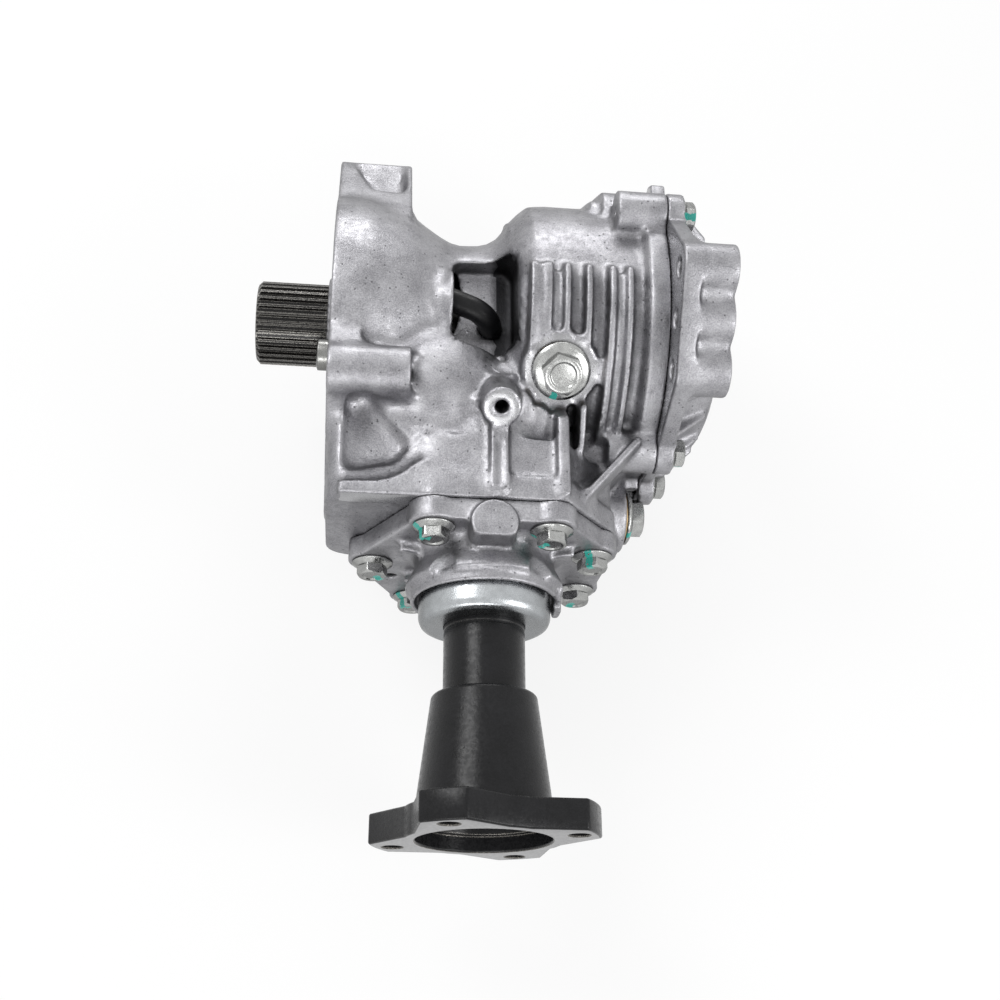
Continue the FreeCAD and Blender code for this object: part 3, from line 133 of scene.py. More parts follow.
# ---- effects shared by the finishes ----
def make_cast_skin():
    """Skin of a die casting: broad mottling, fine grain and small pits."""
    tree, given, result = shader_group(
        "cast_skin",
        {"Place": ("Vector", (0, 0, 0)), "Grain": ("Float", 1400.0), "Mottle": ("Float", 70.0),
         "Pits": ("Float", 0.5)},
        {"Shade": "Float", "Fine": "Float", "Height": "Float", "Pit": "Float"})
    link = tree.links.new
    broad = noise(tree, given["Place"], given["Mottle"], 4.0)
    fine = noise(tree, given["Place"], given["Grain"], 3.0, 0.65)
    cloud = noise(tree, given["Place"], maths(tree, "MULTIPLY", given["Mottle"], 5.0), 3.0)
    spacing = maths(tree, "MULTIPLY", given["Grain"], 0.24)
    cells = add(tree, "TexVoronoi", {"Vector": given["Place"], "Scale": spacing})
    pit = maths(tree, "MULTIPLY", stepped(tree, cells.outputs["Distance"], 0.24, 0.08), given["Pits"])
    chosen = add(tree, "SeparateXYZ", {"Vector": cells.outputs["Color"]}).outputs["X"]
    pit = maths(tree, "MULTIPLY", pit, stepped(tree, chosen, 0.66, 0.68))
    link(pit, result["Pit"])
    shade = maths(tree, "ADD", maths(tree, "MULTIPLY", stepped(tree, broad, 0.3, 0.7), 0.5),
                  maths(tree, "MULTIPLY", stepped(tree, fine, 0.34, 0.66), 0.5))
    link(maths(tree, "SUBTRACT", shade, maths(tree, "MULTIPLY", pit, 0.8), clamp=True), result["Shade"])
    link(stepped(tree, cloud, 0.3, 0.7), result["Fine"])
    height = maths(tree, "SUBTRACT", maths(tree, "ADD", fine, maths(tree, "MULTIPLY", cloud, 1.6)),
                   maths(tree, "MULTIPLY", pit, 1.5))
    link(height, result["Height"])
    return tree


def make_edge_wear():
    """Mask of knocked and rubbed edges, broken up by grain."""
    tree, given, result = shader_group(
        "edge_wear",
        {"Place": ("Vector", (0, 0, 0)), "Width": ("Float", 0.0012), "Grain": ("Float", 900.0),
         "Amount": ("Float", 0.5)},
        {"Mask": "Float"})
    rounded = add(tree, "Bevel", {"Radius": given["Width"]}, samples=4)
    plain = add(tree, "NewGeometry")
    turn = add(tree, "VectorMath", {0: rounded.outputs["Normal"], 1: plain.outputs["Normal"]},
               operation="DOT_PRODUCT")
    edge = stepped(tree, turn.outputs["Value"], 0.995, 0.9)
    broken = noise(tree, given["Place"], given["Grain"], 4.0, 0.7)
    limit = maths(tree, "SUBTRACT", 1.0, given["Amount"])
    chips = stepped(tree, maths(tree, "ADD", broken, maths(tree, "MULTIPLY", edge, 0.45)),
                    maths(tree, "ADD", limit, 0.28), maths(tree, "ADD", limit, 0.40))
    tree.links.new(maths(tree, "MULTIPLY", chips, edge, clamp=True), result["Mask"])
    return tree


def make_paint_mark():
    """Mask of an inspection stripe dabbed across a bolt head, in the head's own plan."""
    tree, given, result = shader_group(
        "paint_mark",
        {"Place": ("Vector", (0, 0, 0)), "Half width": ("Float", 0.002)},
        {"Mask": "Float"})
    plan = add(tree, "Attribute", attribute_type="GEOMETRY", attribute_name="head_plan")
    parts = add(tree, "SeparateXYZ", {"Vector": plan.outputs["Vector"]})
    wander = maths(tree, "SUBTRACT", noise(tree, given["Place"], 260.0, 4.0), 0.5)
    ragged = maths(tree, "MULTIPLY", wander, 0.004)
    across = maths(tree, "ABSOLUTE", maths(tree, "ADD", parts.outputs["X"], ragged))
    inside = stepped(tree, across, given["Half width"], maths(tree, "MULTIPLY", given["Half width"], 0.8))
    side = stepped(tree, maths(tree, "ADD", parts.outputs["Y"], ragged), 0.0012, 0.0018)
    cover = stepped(tree, noise(tree, given["Place"], 420.0, 3.0), 0.34, 0.40)
    mask = maths(tree, "MULTIPLY", maths(tree, "MULTIPLY", inside, side), cover, clamp=True)
    tree.links.new(mask, result["Mask"])
    return tree


def make_turned_lines():
    """Fine tool marks round an axis through the pinion or input centre line."""
    tree, given, result = shader_group(
        "turned_lines",
        {"Along": ("Float", 0.0), "Radius": ("Float", 0.0), "Pitch": ("Float", 0.00035)},
        {"Height": "Float"})
    reach = maths(tree, "DIVIDE", maths(tree, "ADD", given["Along"], given["Radius"]), given["Pitch"])
    row = add(tree, "TexNoise", {"W": reach, "Scale": 1.0, "Detail": 2.0}, noise_dimensions="1D")
    tree.links.new(row.outputs["Fac"], result["Height"])
    return tree


CAST_SKIN = make_cast_skin()
EDGE_WEAR = make_edge_wear()
PAINT_MARK = make_paint_mark()
TURNED_LINES = make_turned_lines()


def use_group(tree, group, **inputs):
    """Outputs of a shader group; inputs take values or sockets."""
    node = tree.nodes.new("ShaderNodeGroup")
    node.node_tree = group
    for key, value in inputs.items():
        socket = node.inputs[key.replace("_", " ")]
        if isinstance(value, bpy.types.NodeSocket):
            tree.links.new(value, socket)
        else:
            socket.default_value = value
    return node.outputs


def finish_material(name, **sockets):
    """Empty finish: its tree, Principled shader and Object coordinates."""
    material = bpy.data.materials.new(name)
    material.use_nodes = True
    tree = material.node_tree
    shader = tree.nodes["Principled BSDF"]
    for key, value in sockets.items():
        shader.inputs[key.replace("_", " ")].default_value = value
    place = add(tree, "TexCoord").outputs["Object"]
    return material, tree, shader, place


def blend(tree, mask, first, second):
    """Colour that runs from first to second with mask."""
    node = add(tree, "Mix", data_type="RGBA")
    for socket, value in ((node.inputs[0], mask), (node.inputs[6], first), (node.inputs[7], second)):
        if isinstance(value, bpy.types.NodeSocket):
            tree.links.new(value, socket)
        else:
            socket.default_value = value if isinstance(value, float) else (*value, 1.0)
    return node.outputs[2]


def span(tree, value, low, high):
    """Value from 0 to 1 spread over low to high."""
    return add(tree, "MapRange", {"Value": value, "To Min": low, "To Max": high}).outputs["Result"]


def bump(tree, shader, height, depth):
    """Gives a shader relief from height, depth metres deep."""
    node = add(tree, "Bump", {"Height": height, "Distance": depth, "Strength": 1.0})
    tree.links.new(node.outputs["Normal"], shader.inputs["Normal"])


PIT_GREY = (0.03, 0.03, 0.032)
# painted shade in hollows and inner corners
PAINTED_HOLLOW_SHADE = (0.05, 0.05, 0.053)
# painted shade, near black, in bores and the deepest hollows
PAINTED_DEEP_SHADE = (0.012, 0.012, 0.013)
# painted darker reflection on walls seen edge-on
PAINTED_EDGE_ON_SHADE = (0.06, 0.06, 0.064)
# bright edges, partly rubbed wear and partly a painted highlight
RUBBED_AND_HIGHLIGHT_BRIGHT = (0.72, 0.72, 0.73)
MARK_GREEN = (0.03, 0.36, 0.30)


def make_cast_finish(name, dark, light, rough):
    """Die-cast skin: mottled, with painted shade in its hollows, a painted darker reflection on walls seen
    edge-on, and edges brightened partly as rubbed wear and partly as a painted highlight.
    """
    material, tree, shader, place = finish_material(name, Metallic=1.0)
    skin = use_group(tree, CAST_SKIN, Place=place)
    wear = use_group(tree, EDGE_WEAR, Place=place, Width=0.0014, Amount=0.62)
    hollow = add(tree, "Attribute", attribute_type="GEOMETRY", attribute_name="crevice").outputs["Fac"]
    base = blend(tree, skin["Pit"], blend(tree, skin["Shade"], dark, light), PIT_GREY)
    # painted shade that deepens with the crevice depth
    shaded = maths(tree, "MULTIPLY", stepped(tree, hollow, 0.04, 0.9), 0.68)
    base = blend(tree, shaded, base, PAINTED_HOLLOW_SHADE)
    # painted shade, near black, where the crevice depth is greatest, as in bores and the hose pocket
    painted_deep_shade_share = maths(tree, "MULTIPLY", stepped(tree, hollow, 0.86, 0.98), 0.9)
    base = blend(tree, painted_deep_shade_share, base, PAINTED_DEEP_SHADE)
    # painted darker reflection on walls seen edge-on
    aslant = add(tree, "LayerWeight", {"Blend": 0.5}).outputs["Facing"]
    painted_dimming = maths(tree, "MULTIPLY", stepped(tree, aslant, 0.3, 0.95), 0.42)
    base = blend(tree, painted_dimming, base, PAINTED_EDGE_ON_SHADE)
    # edges brightened, partly as rubbed wear and partly as a painted highlight
    base = blend(tree, maths(tree, "MULTIPLY", wear["Mask"], 0.7), base, RUBBED_AND_HIGHLIGHT_BRIGHT)
    tree.links.new(base, shader.inputs["Base Color"])
    tree.links.new(span(tree, skin["Fine"], rough[0], rough[1]), shader.inputs["Roughness"])
    bump(tree, shader, skin["Height"], 0.00011)
    return material


def make_machined_finish(name, colour, rough):
    """Cut metal with fine tool marks."""
    material, tree, shader, place = finish_material(name, Metallic=1.0)
    skin = use_group(tree, CAST_SKIN, Place=place, Grain=2600.0, Mottle=120.0, Pits=0.25)
    parts = add(tree, "SeparateXYZ", {"Vector": place})
    lines = use_group(tree, TURNED_LINES, Along=parts.outputs["Y"], Radius=parts.outputs["Z"])
    base = blend(tree, skin["Shade"], tuple(0.8 * c for c in colour), colour)
    tree.links.new(base, shader.inputs["Base Color"])
    tree.links.new(span(tree, skin["Fine"], rough - 0.05, rough + 0.07), shader.inputs["Roughness"])
    bump(tree, shader, lines["Height"], 0.000012)
    return material


def make_steel_finish(name, colour, rough, spread=0.1, paint=False, depth=0.00001, metallic=1.0):
    """Plated or ground steel with a soft bloom, and an inspection stripe where asked."""
    material, tree, shader, place = finish_material(name, Metallic=metallic)
    skin = use_group(tree, CAST_SKIN, Place=place, Grain=2200.0, Mottle=260.0, Pits=0.3)
    base = blend(tree, skin["Shade"], tuple(c * (1 - 2 * spread) for c in colour), colour)
    # painted darker reflection at grazing angles
    aslant = add(tree, "LayerWeight", {"Blend": 0.5}).outputs["Facing"]
    painted_dimming = maths(tree, "MULTIPLY", stepped(tree, aslant, 0.15, 0.8), 0.7)
    base = blend(tree, painted_dimming, base, tuple(0.12 * c for c in colour))
    shine = span(tree, skin["Fine"], rough - spread / 2, rough + spread)
    if paint:
        mark = use_group(tree, PAINT_MARK, Place=place)["Mask"]
        base = blend(tree, mark, base, MARK_GREEN)
        bare = maths(tree, "SUBTRACT", 1.0, mark)
        tree.links.new(maths(tree, "MULTIPLY", bare, metallic), shader.inputs["Metallic"])
    tree.links.new(base, shader.inputs["Base Color"])
    tree.links.new(shine, shader.inputs["Roughness"])
    bump(tree, shader, skin["Height"], depth)
    return material


def make_black_finish(name, colour, chip, rough, amount, depth):
    """Dark coating that has gone from the edges, over a forged or cut skin."""
    material, tree, shader, place = finish_material(name, Metallic=0.0, Specular_IOR_Level=0.22)
    skin = use_group(tree, CAST_SKIN, Place=place, Grain=1100.0, Mottle=90.0, Pits=0.4)
    wear = use_group(tree, EDGE_WEAR, Place=place, Width=0.0011, Amount=amount)
    base = blend(tree, skin["Shade"], tuple(0.55 * c for c in colour), tuple(1.35 * c for c in colour))
    tree.links.new(blend(tree, wear["Mask"], base, chip), shader.inputs["Base Color"])
    tree.links.new(maths(tree, "MULTIPLY", wear["Mask"], 0.8), shader.inputs["Metallic"])
    tree.links.new(span(tree, skin["Fine"], rough - 0.06, rough + 0.1), shader.inputs["Roughness"])
    bump(tree, shader, skin["Height"], depth)
    return material


CAST = make_cast_finish(
    "cast_aluminium", (0.205, 0.203, 0.216), (0.43, 0.427, 0.446), (0.36, 0.52))
MACHINED = make_machined_finish("machined_aluminium", (0.40, 0.40, 0.412), 0.27)
BARE = make_machined_finish("machined_steel", (0.33, 0.33, 0.335), 0.33)
ZINC = make_steel_finish("zinc_plate", (0.51, 0.515, 0.505), 0.20, 0.18, paint=True)
DUST = make_steel_finish("zinc_cover", (0.50, 0.52, 0.535), 0.26, 0.12, depth=0.00003)
COPPER = make_steel_finish("gasket_metal", (0.55, 0.40, 0.22), 0.33)
DOWEL = make_steel_finish("dowel_steel", (0.30, 0.30, 0.29), 0.26, 0.16)
GROUND = make_steel_finish("bearing_steel", (0.6, 0.61, 0.62), 0.2)
PRESSED = make_steel_finish("cage_steel", (0.42, 0.42, 0.43), 0.36)
GEAR = make_steel_finish("gear_steel", (0.30, 0.30, 0.31), 0.34)
BLACK_BOLT = make_steel_finish("bolt_black", (0.05, 0.05, 0.055), 0.42, 0.12, metallic=0.6)
SHAFT_BLACK = make_black_finish(
    "phosphated_steel", (0.007, 0.006, 0.006), (0.30, 0.29, 0.27), 0.26, 0.50, 0.00002)
FLANGE_BLACK = make_black_finish(
    "black_paint", (0.010, 0.010, 0.011), (0.34, 0.32, 0.29), 0.25, 0.56, 0.00005)
HOSE = make_black_finish(
    "hose_rubber", (0.007, 0.007, 0.008), (0.02, 0.02, 0.02), 0.36, 0.1, 0.00001)
SEAL = make_steel_finish("seal_rubber", (0.03, 0.022, 0.019), 0.55, 0.08, metallic=0.0)


# ---- mesh tools ----
SPARE_VOXELS = 2.5          # width of a distance grid beyond the reach asked for
BAND_VOXELS = 4             # reach of the two grids that a wide fillet is blended in
WIDE_COARSE = 1.5           # the wide fillets are worked out on voxels this much coarser
CREVICE_VOXEL = 0.0009
CREVICE_REACH = 0.009       # depth at which a hollow takes the full painted shade
BRIDGE_R = 0.0075           # hollows narrower than twice this are bridged
ON_PLANE = 0.0003           # how near its plane a machined face lies
SQUARE_ON = 0.985           # cosine between its normal and the plane's
NO_RADIUS = 1e-7            # a smaller radius lies on the axis
NEARLY_STRAIGHT = 2.9       # profile corners wider than this, in radians, stay as they are
EASED_SHARE = 0.45          # most of a profile's side that one rounded corner takes up
WELD = 1e-6


def new_piece(name, mesh, materials, body, replaced, angle=32.0):
    """Links a finished mesh as a piece, gives it its body and finish, and hides what it stands for."""
    piece = bpy.data.objects.new(name, mesh)
    bpy.context.scene.collection.objects.link(piece)
    shares = np.zeros(len(mesh.polygons), np.int32)
    if len(materials) > 1:
        mesh.polygons.foreach_get("material_index", shares)
    mesh.materials.clear()
    for material in materials:
        mesh.materials.append(material)
    mesh.polygons.foreach_set("material_index", shares)
    mesh.polygons.foreach_set("use_smooth", np.ones(len(mesh.polygons), bool))
    if angle:
        mesh.set_sharp_from_angle(angle=math.radians(angle))
    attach(piece, body)
    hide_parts(*replaced)
    return piece


def mesh_arrays(mesh):
    """Points and triangles of a mesh as arrays."""
    points = np.zeros(len(mesh.vertices) * 3, np.float32)
    mesh.vertices.foreach_get("co", points)
    mesh.calc_loop_triangles()
    faces = np.zeros(len(mesh.loop_triangles) * 3, np.int32)
    mesh.loop_triangles.foreach_get("vertices", faces)
    return points.reshape(-1, 3), faces.reshape(-1, 3)


def level_set(points, triangles, quads, voxel, reach):
    """Signed distance grid of a closed skin, good to reach metres either side of it."""
    return vdb.FloatGrid.createLevelSetFromPolygons(
        points, triangles=triangles, quads=quads, transform=vdb.createLinearTransform(voxelSize=voxel),
        halfWidth=reach / voxel + SPARE_VOXELS)


def softened(skin, voxel, steps, adaptivity=0.0):
    """Moves a skin out and in by the steps: out then in fills inner corners, in then out rounds edges."""
    for count, step in enumerate(steps):
        grid = level_set(*skin, voxel, abs(step))
        last = count == len(steps) - 1
        skin = grid.convertToPolygons(isovalue=step, adaptivity=adaptivity if last else 0.0)
    return skin


def block_of(grid, low, high, voxel):
    """Values of a grid between two corners, and the place of the first value in voxels."""
    first = [math.floor(v / voxel) for v in low]
    size = [math.ceil(v / voxel) - start + 1 for v, start in zip(high, first)]
    block = np.empty(size, np.float32)
    grid.copyToArray(block, ijk=tuple(first))
    return block, first


def ramp(value, low, high):
    """Smooth step of an array between low and high."""
    share = np.clip((value - low) / (high - low), 0.0, 1.0)
    return share * share * (3 - 2 * share)


def broadened(skin, voxel, fillet, low, high, weight):
    """Skin whose inner corners, within a block, are filled to the wide fillet where weight asks."""
    wide = softened(skin, voxel * WIDE_COARSE, (fillet, -fillet))
    reach = voxel * BAND_VOXELS
    grid = level_set(*skin, voxel, reach)
    block, first = block_of(grid, low, high, voxel)
    filled, first = block_of(level_set(*wide, voxel, reach), low, high, voxel)
    x, y, z = [((np.arange(count) + start) * voxel).astype(np.float32)
               for count, start in zip(block.shape, first)]
    share = weight(x[:, None, None], y[None, :, None], z[None, None, :])
    block += (np.minimum(filled, block) - block) * share
    grid.copyFromArray(block, ijk=tuple(first))
    return grid.convertToPolygons(isovalue=0.0, adaptivity=0.0)


def crevice_depth(points, skin, voxel, reach):
    """How far each point lies inside the skin once its hollows are bridged, as a share of reach."""
    bridged = softened(skin, voxel, (BRIDGE_R, -BRIDGE_R))
    grid = level_set(*bridged, voxel, reach)
    block, first = block_of(grid, points.min(axis=0) - voxel, points.max(axis=0) + voxel, voxel)
    index = np.rint(points / voxel).astype(np.int32) - np.array(first, np.int32)
    depth = -block[index[:, 0], index[:, 1], index[:, 2]]
    return np.clip(depth / reach, 0.0, 1.0)


# where the painted shade in the hose pocket sets in and where it has gone again, along X, Y and Z
PAINTED_POCKET_SHADE = (((0.0825, 0.0845), (0.0965, 0.098)), ((-0.040, -0.036), (0.017, 0.021)),
         ((0.030, 0.033), (0.055, 0.060)))


def painted_pocket_shade(points):
    """Share of painted shade, near black, at the deep end of the hose pocket."""
    share = 1.0
    for place, (rise, fall) in zip(points.T, PAINTED_POCKET_SHADE):
        share = share * ramp(place, *rise) * ramp(-place, -fall[1], -fall[0])
    return share


def cast_mesh(node, fillet, edge, voxel, adaptivity, broad):
    """Mesh of a casting: the node's solid with cast fillets in its inner corners and eased outer edges."""
    points, faces = mesh_arrays(NODES[node].data)
    skin = softened((points, faces.astype(np.uint32), np.zeros((0, 4), np.uint32)), voxel, (fillet, -fillet))
    if broad:
        skin = broadened(skin, voxel, *broad)
    skin = softened(skin, voxel, (-edge, edge), adaptivity)
    points, triangles, quads = skin
    mesh = bpy.data.meshes.new(node + "_skin")
    corners = [tuple(face)[::-1] for face in triangles.tolist() + quads.tolist()]
    mesh.from_pydata(points.tolist(), [], corners)
    # crevice depth, which the cast finish turns into painted shade
    depth = mesh.attributes.new("crevice", "FLOAT", "POINT")
    hollow = crevice_depth(points, skin, CREVICE_VOXEL, CREVICE_REACH)
    # painted shade, near black, at the deep end of the hose pocket on the main case
    if node == "main_case":
        hollow = np.maximum(hollow, painted_pocket_shade(points))
    depth.data.foreach_set("value", hollow)
    mesh.update()
    return mesh


def machine(mesh, rules):
    """Gives the second finish to faces that lie on a machined plane: (point, outward normal, reach)."""
    count = len(mesh.polygons)
    centres = np.zeros(count * 3, np.float32)
    normals = np.zeros(count * 3, np.float32)
    mesh.polygons.foreach_get("center", centres)
    mesh.polygons.foreach_get("normal", normals)
    centres = centres.reshape(-1, 3)
    normals = normals.reshape(-1, 3)
    index = np.zeros(count, np.int32)
    for point, outward, reach in rules:
        offset = centres - np.array(point, np.float32)
        height = offset @ np.array(outward, np.float32)
        facing = normals @ np.array(outward, np.float32)
        aside = np.linalg.norm(offset - height[:, None] * np.array(outward, np.float32), axis=1)
        index[(abs(height) < ON_PLANE) & (facing > SQUARE_ON) & (aside < reach)] = 1
    mesh.polygons.foreach_set("material_index", index)
    mesh.update()


def eased(profile, radius, steps=3):
    """Rounds the corners of a closed (along, radius) profile."""
    result = []
    count = len(profile)
    for i, corner in enumerate(profile):
        here = Vector(corner)
        before = Vector(profile[i - 1]) - here
        after = Vector(profile[(i + 1) % count]) - here
        reach = min(radius, before.length * EASED_SHARE, after.length * EASED_SHARE)
        if here.y < NO_RADIUS or before.angle(after) > NEARLY_STRAIGHT:
            result.append(tuple(here))
            continue
        start = here + before.normalized() * reach
        end = here + after.normalized() * reach
        for k in range(steps + 1):
            t = k / steps
            result.append(tuple((1 - t) ** 2 * start + 2 * t * (1 - t) * here + t * t * end))
    return result


def turned(profile, origin, axis, steps=144, name="turned"):
    """Solid of revolution from a closed (along, radius) profile in metres."""
    axis = Vector(axis).normalized()
    side = axis.orthogonal().normalized()
    other = axis.cross(side)
    work = bmesh.new()
    rings = []
    for along, radius in profile:
        centre = Vector(origin) + axis * along
        if radius < NO_RADIUS:
            rings.append([work.verts.new(centre)] * steps)
            continue
        rings.append([work.verts.new(centre + (side * math.cos(a) + other * math.sin(a)) * radius)
                      for a in (2 * math.pi * k / steps for k in range(steps))])
    for i in range(len(rings)):
        first, second = rings[i], rings[(i + 1) % len(rings)]
        for k in range(steps):
            corners = []
            for vert in (first[k], first[(k + 1) % steps], second[(k + 1) % steps], second[k]):
                if vert not in corners:
                    corners.append(vert)
            if len(corners) > 2:
                work.faces.new(corners)
    bmesh.ops.recalc_face_normals(work, faces=work.faces)
    mesh = bpy.data.meshes.new(name)
    work.to_mesh(mesh)
    work.free()
    return mesh


def prism(outline, origin, axis, height, side=None, name="prism"):
    """Straight prism over a closed outline of (u, v) points, standing along axis."""
    axis = Vector(axis).normalized()
    side = Vector(side).normalized() if side else axis.orthogonal().normalized()
    other = axis.cross(side)
    work = bmesh.new()
    low = [work.verts.new(Vector(origin) + side * u + other * v) for u, v in outline]
    high = [work.verts.new(vert.co + axis * height) for vert in low]
    work.faces.new(low[::-1])
    work.faces.new(high)
    for k in range(len(low)):
        work.faces.new((low[k], low[(k + 1) % len(low)], high[(k + 1) % len(low)], high[k]))
    bmesh.ops.recalc_face_normals(work, faces=work.faces)
    mesh = bpy.data.meshes.new(name)
    work.to_mesh(mesh)
    work.free()
    return mesh


def combined(base, others, operation):
    """Boolean of one mesh with others; returns a plain mesh."""
    target = bpy.data.objects.new("work", base)
    bpy.context.scene.collection.objects.link(target)
    tools = []
    for mesh in others:
        tool = bpy.data.objects.new("tool", mesh)
        bpy.context.scene.collection.objects.link(tool)
        tools.append(tool)
        cut = target.modifiers.new("cut", "BOOLEAN")
        cut.operation = operation
        cut.solver = "MANIFOLD"
        cut.object = tool
    mesh = bpy.data.meshes.new_from_object(target.evaluated_get(bpy.context.evaluated_depsgraph_get()))
    for item in [target] + tools:
        bpy.data.objects.remove(item)
    return mesh


def bevelled(mesh, width, segments=2, angle=30.0):
    """Mesh with its sharp edges rounded."""
    holder = bpy.data.objects.new("work", mesh)
    bpy.context.scene.collection.objects.link(holder)
    edge = holder.modifiers.new("edge", "BEVEL")
    edge.width = width
    edge.segments = segments
    edge.limit_method = "ANGLE"
    edge.angle_limit = math.radians(angle)
    result = bpy.data.meshes.new_from_object(holder.evaluated_get(bpy.context.evaluated_depsgraph_get()))
    bpy.data.objects.remove(holder)
    return result


def merged(meshes, name):
    """One mesh that holds several, as they lie."""
    work = bmesh.new()
    for mesh in meshes:
        work.from_mesh(mesh)
    result = bpy.data.meshes.new(name)
    work.to_mesh(result)
    work.free()
    return result


def mm(profile):
    """Profile in metres from one in millimetres."""
    return [(a * MM, r * MM) for a, r in profile]


# ---- castings ----
WHOLE_FACE = 1.0            # reach of a machined face that takes the whole plane
LUG_FACE_R = 0.0125


def flange_faces():
    """Machined faces of the gearbox flange: its joint face and the bolt seats of its lugs."""
    faces = [((0, 0, 0), (-1, 0, 0), WHOLE_FACE)]
    for name, mount in MOUNTS.items():
        if name.startswith("flange_hole"):
            depth = mount["dims"]["length_mm"] * MM
            faces.append(((depth, mount["pos_m"][1], mount["pos_m"][2]), (1, 0, 0), LUG_FACE_R))
    return faces


STUD = MOUNTS["bracket_stud_hole"]
SLANT = Vector(STUD["axis"]).normalized()


def seat_of(node, axis):
    """Lowest point of a node's seat on the line through its middle, along axis."""
    points, faces = mesh_arrays(NODES[node].data)
    reach = points @ np.array(axis, np.float32)
    low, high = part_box(node)
    middle = (low + high) / 2
    return middle + axis * (float(reach.min()) - middle.dot(axis))


FILLER_SEAT = seat_of("filler_gasket", SLANT)
DRAIN_SEAT = seat_of("drain_gasket", X_AXIS)


# the wide fillets of the case fade in between these two distances from each thing that they stay clear of
JOINT_FACE_CLEAR = (0.001, 0.005)
CARRIER_FACE_CLEAR = (-0.120, -0.112)
GEAR_HOUSING_CLEAR = (0.092, 0.099)
INPUT_BORE_CLEAR = (0.040, 0.044)
PINION_BORE_CLEAR = (0.042, 0.046)
HOLE_CLEAR = (0.0075, 0.0105)
STUD_CLEAR = (-0.002, 0.003)
STUD_HALF_W = 0.010
STUD_LOW_Z = 0.046
STUD_TOP_Y = (-0.060, -0.052)


def case_weight(x, y, z):
    """Where the case's corners are filled wide: flange, neck, belly and tower, not bores or fine forms."""
    share = ramp(x, *JOINT_FACE_CLEAR) * ramp(-x, -GEAR_HOUSING_CLEAR[1], -GEAR_HOUSING_CLEAR[0])
    share = share * ramp(y, *CARRIER_FACE_CLEAR) * ramp(np.sqrt(y * y + z * z), *INPUT_BORE_CLEAR)
    share = share * ramp(np.sqrt((x - PINION_X) ** 2 + z * z), *PINION_BORE_CLEAR)
    for name, mount in MOUNTS.items():
        if name.startswith("flange_hole"):
            away = np.sqrt((y - mount["pos_m"][1]) ** 2 + (z - mount["pos_m"][2]) ** 2)
            share = share * ramp(away, *HOLE_CLEAR)
    aside = np.maximum(abs(x - STUD["pos_m"][0]) - STUD_HALF_W, STUD_LOW_Z - z)
    return share * np.maximum(ramp(aside, *STUD_CLEAR), ramp(y, *STUD_TOP_Y))


CASE_BROAD = (0.0065, (-0.001, -0.124, -0.100), (0.101, 0.101, 0.085), case_weight)
FILLER_FACE_R = 0.0185
DRAIN_FACE_R = 0.018
STUD_FACE_R = 0.0098
CASE_FACES = flange_faces() + [
    ((COVER_X, 0, 0), (1, 0, 0), WHOLE_FACE), ((0, CARRIER_Y, 0), (0, -1, 0), WHOLE_FACE),
    (FILLER_SEAT, SLANT, FILLER_FACE_R), (STUD["pos_m"], SLANT, STUD_FACE_R),
    (DRAIN_SEAT, X_AXIS, DRAIN_FACE_R)]
COVER_FACES = [((COVER_X, 0, 0), (-1, 0, 0), WHOLE_FACE)]
CARRIER_FACES = [((0, CARRIER_Y, 0), (0, 1, 0), WHOLE_FACE)]
# node, fillet, eased edge, voxel, adaptivity of the mesh, wide fillets and machined faces
for node, fillet, edge, voxel, adaptivity, broad, faces in (
        ("main_case", 0.0024, 0.0009, 0.00062, 0.12, CASE_BROAD, CASE_FACES),
        ("side_cover", 0.0022, 0.0007, 0.0006, 0.04, None, COVER_FACES),
        ("pinion_carrier", 0.0020, 0.0006, 0.00055, 0.04, None, CARRIER_FACES)):
    casting = cast_mesh(node, fillet, edge, voxel, adaptivity, broad)
    machine(casting, faces)
    new_piece(node + "_casting", casting, (CAST, MACHINED), "housing", (node,), 0)


# ---- companion flange ----
PLATE_T = 14.5
LOBES = 4
LOBE_END_R = 55.5
LOBE_HALF_W = 11.4
LOBE_TURN = 25.0
LOBE_STEPS = 6
WAIST_R = 39.0
WAIST_HALF = 8.0


def lobed_outline():
    """Four-lobed outline of the flange plate as (-x, z) about its centre, in metres."""
    points = []
    half = math.degrees(math.asin(LOBE_HALF_W / LOBE_END_R))
    for k in range(LOBES):
        lobe = LOBE_TURN + 90 * k
        for middle, spread, radius in ((lobe, half, LOBE_END_R), (lobe + 45, WAIST_HALF, WAIST_R)):
            for step in range(LOBE_STEPS + 1):
                angle = math.radians(middle - spread + 2 * spread * step / LOBE_STEPS)
                points.append((-radius * MM * math.cos(angle), radius * MM * math.sin(angle)))
    return points[::-1]


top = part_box("companion_flange")[1].y
origin = Vector((PINION_X, 0, 0))


def along_y(profile):
    """Profile given by Y in millimetres from the flange's outer face, turned into metres."""
    return [(PLATE_Y + y * MM, r * MM) for y, r in profile]


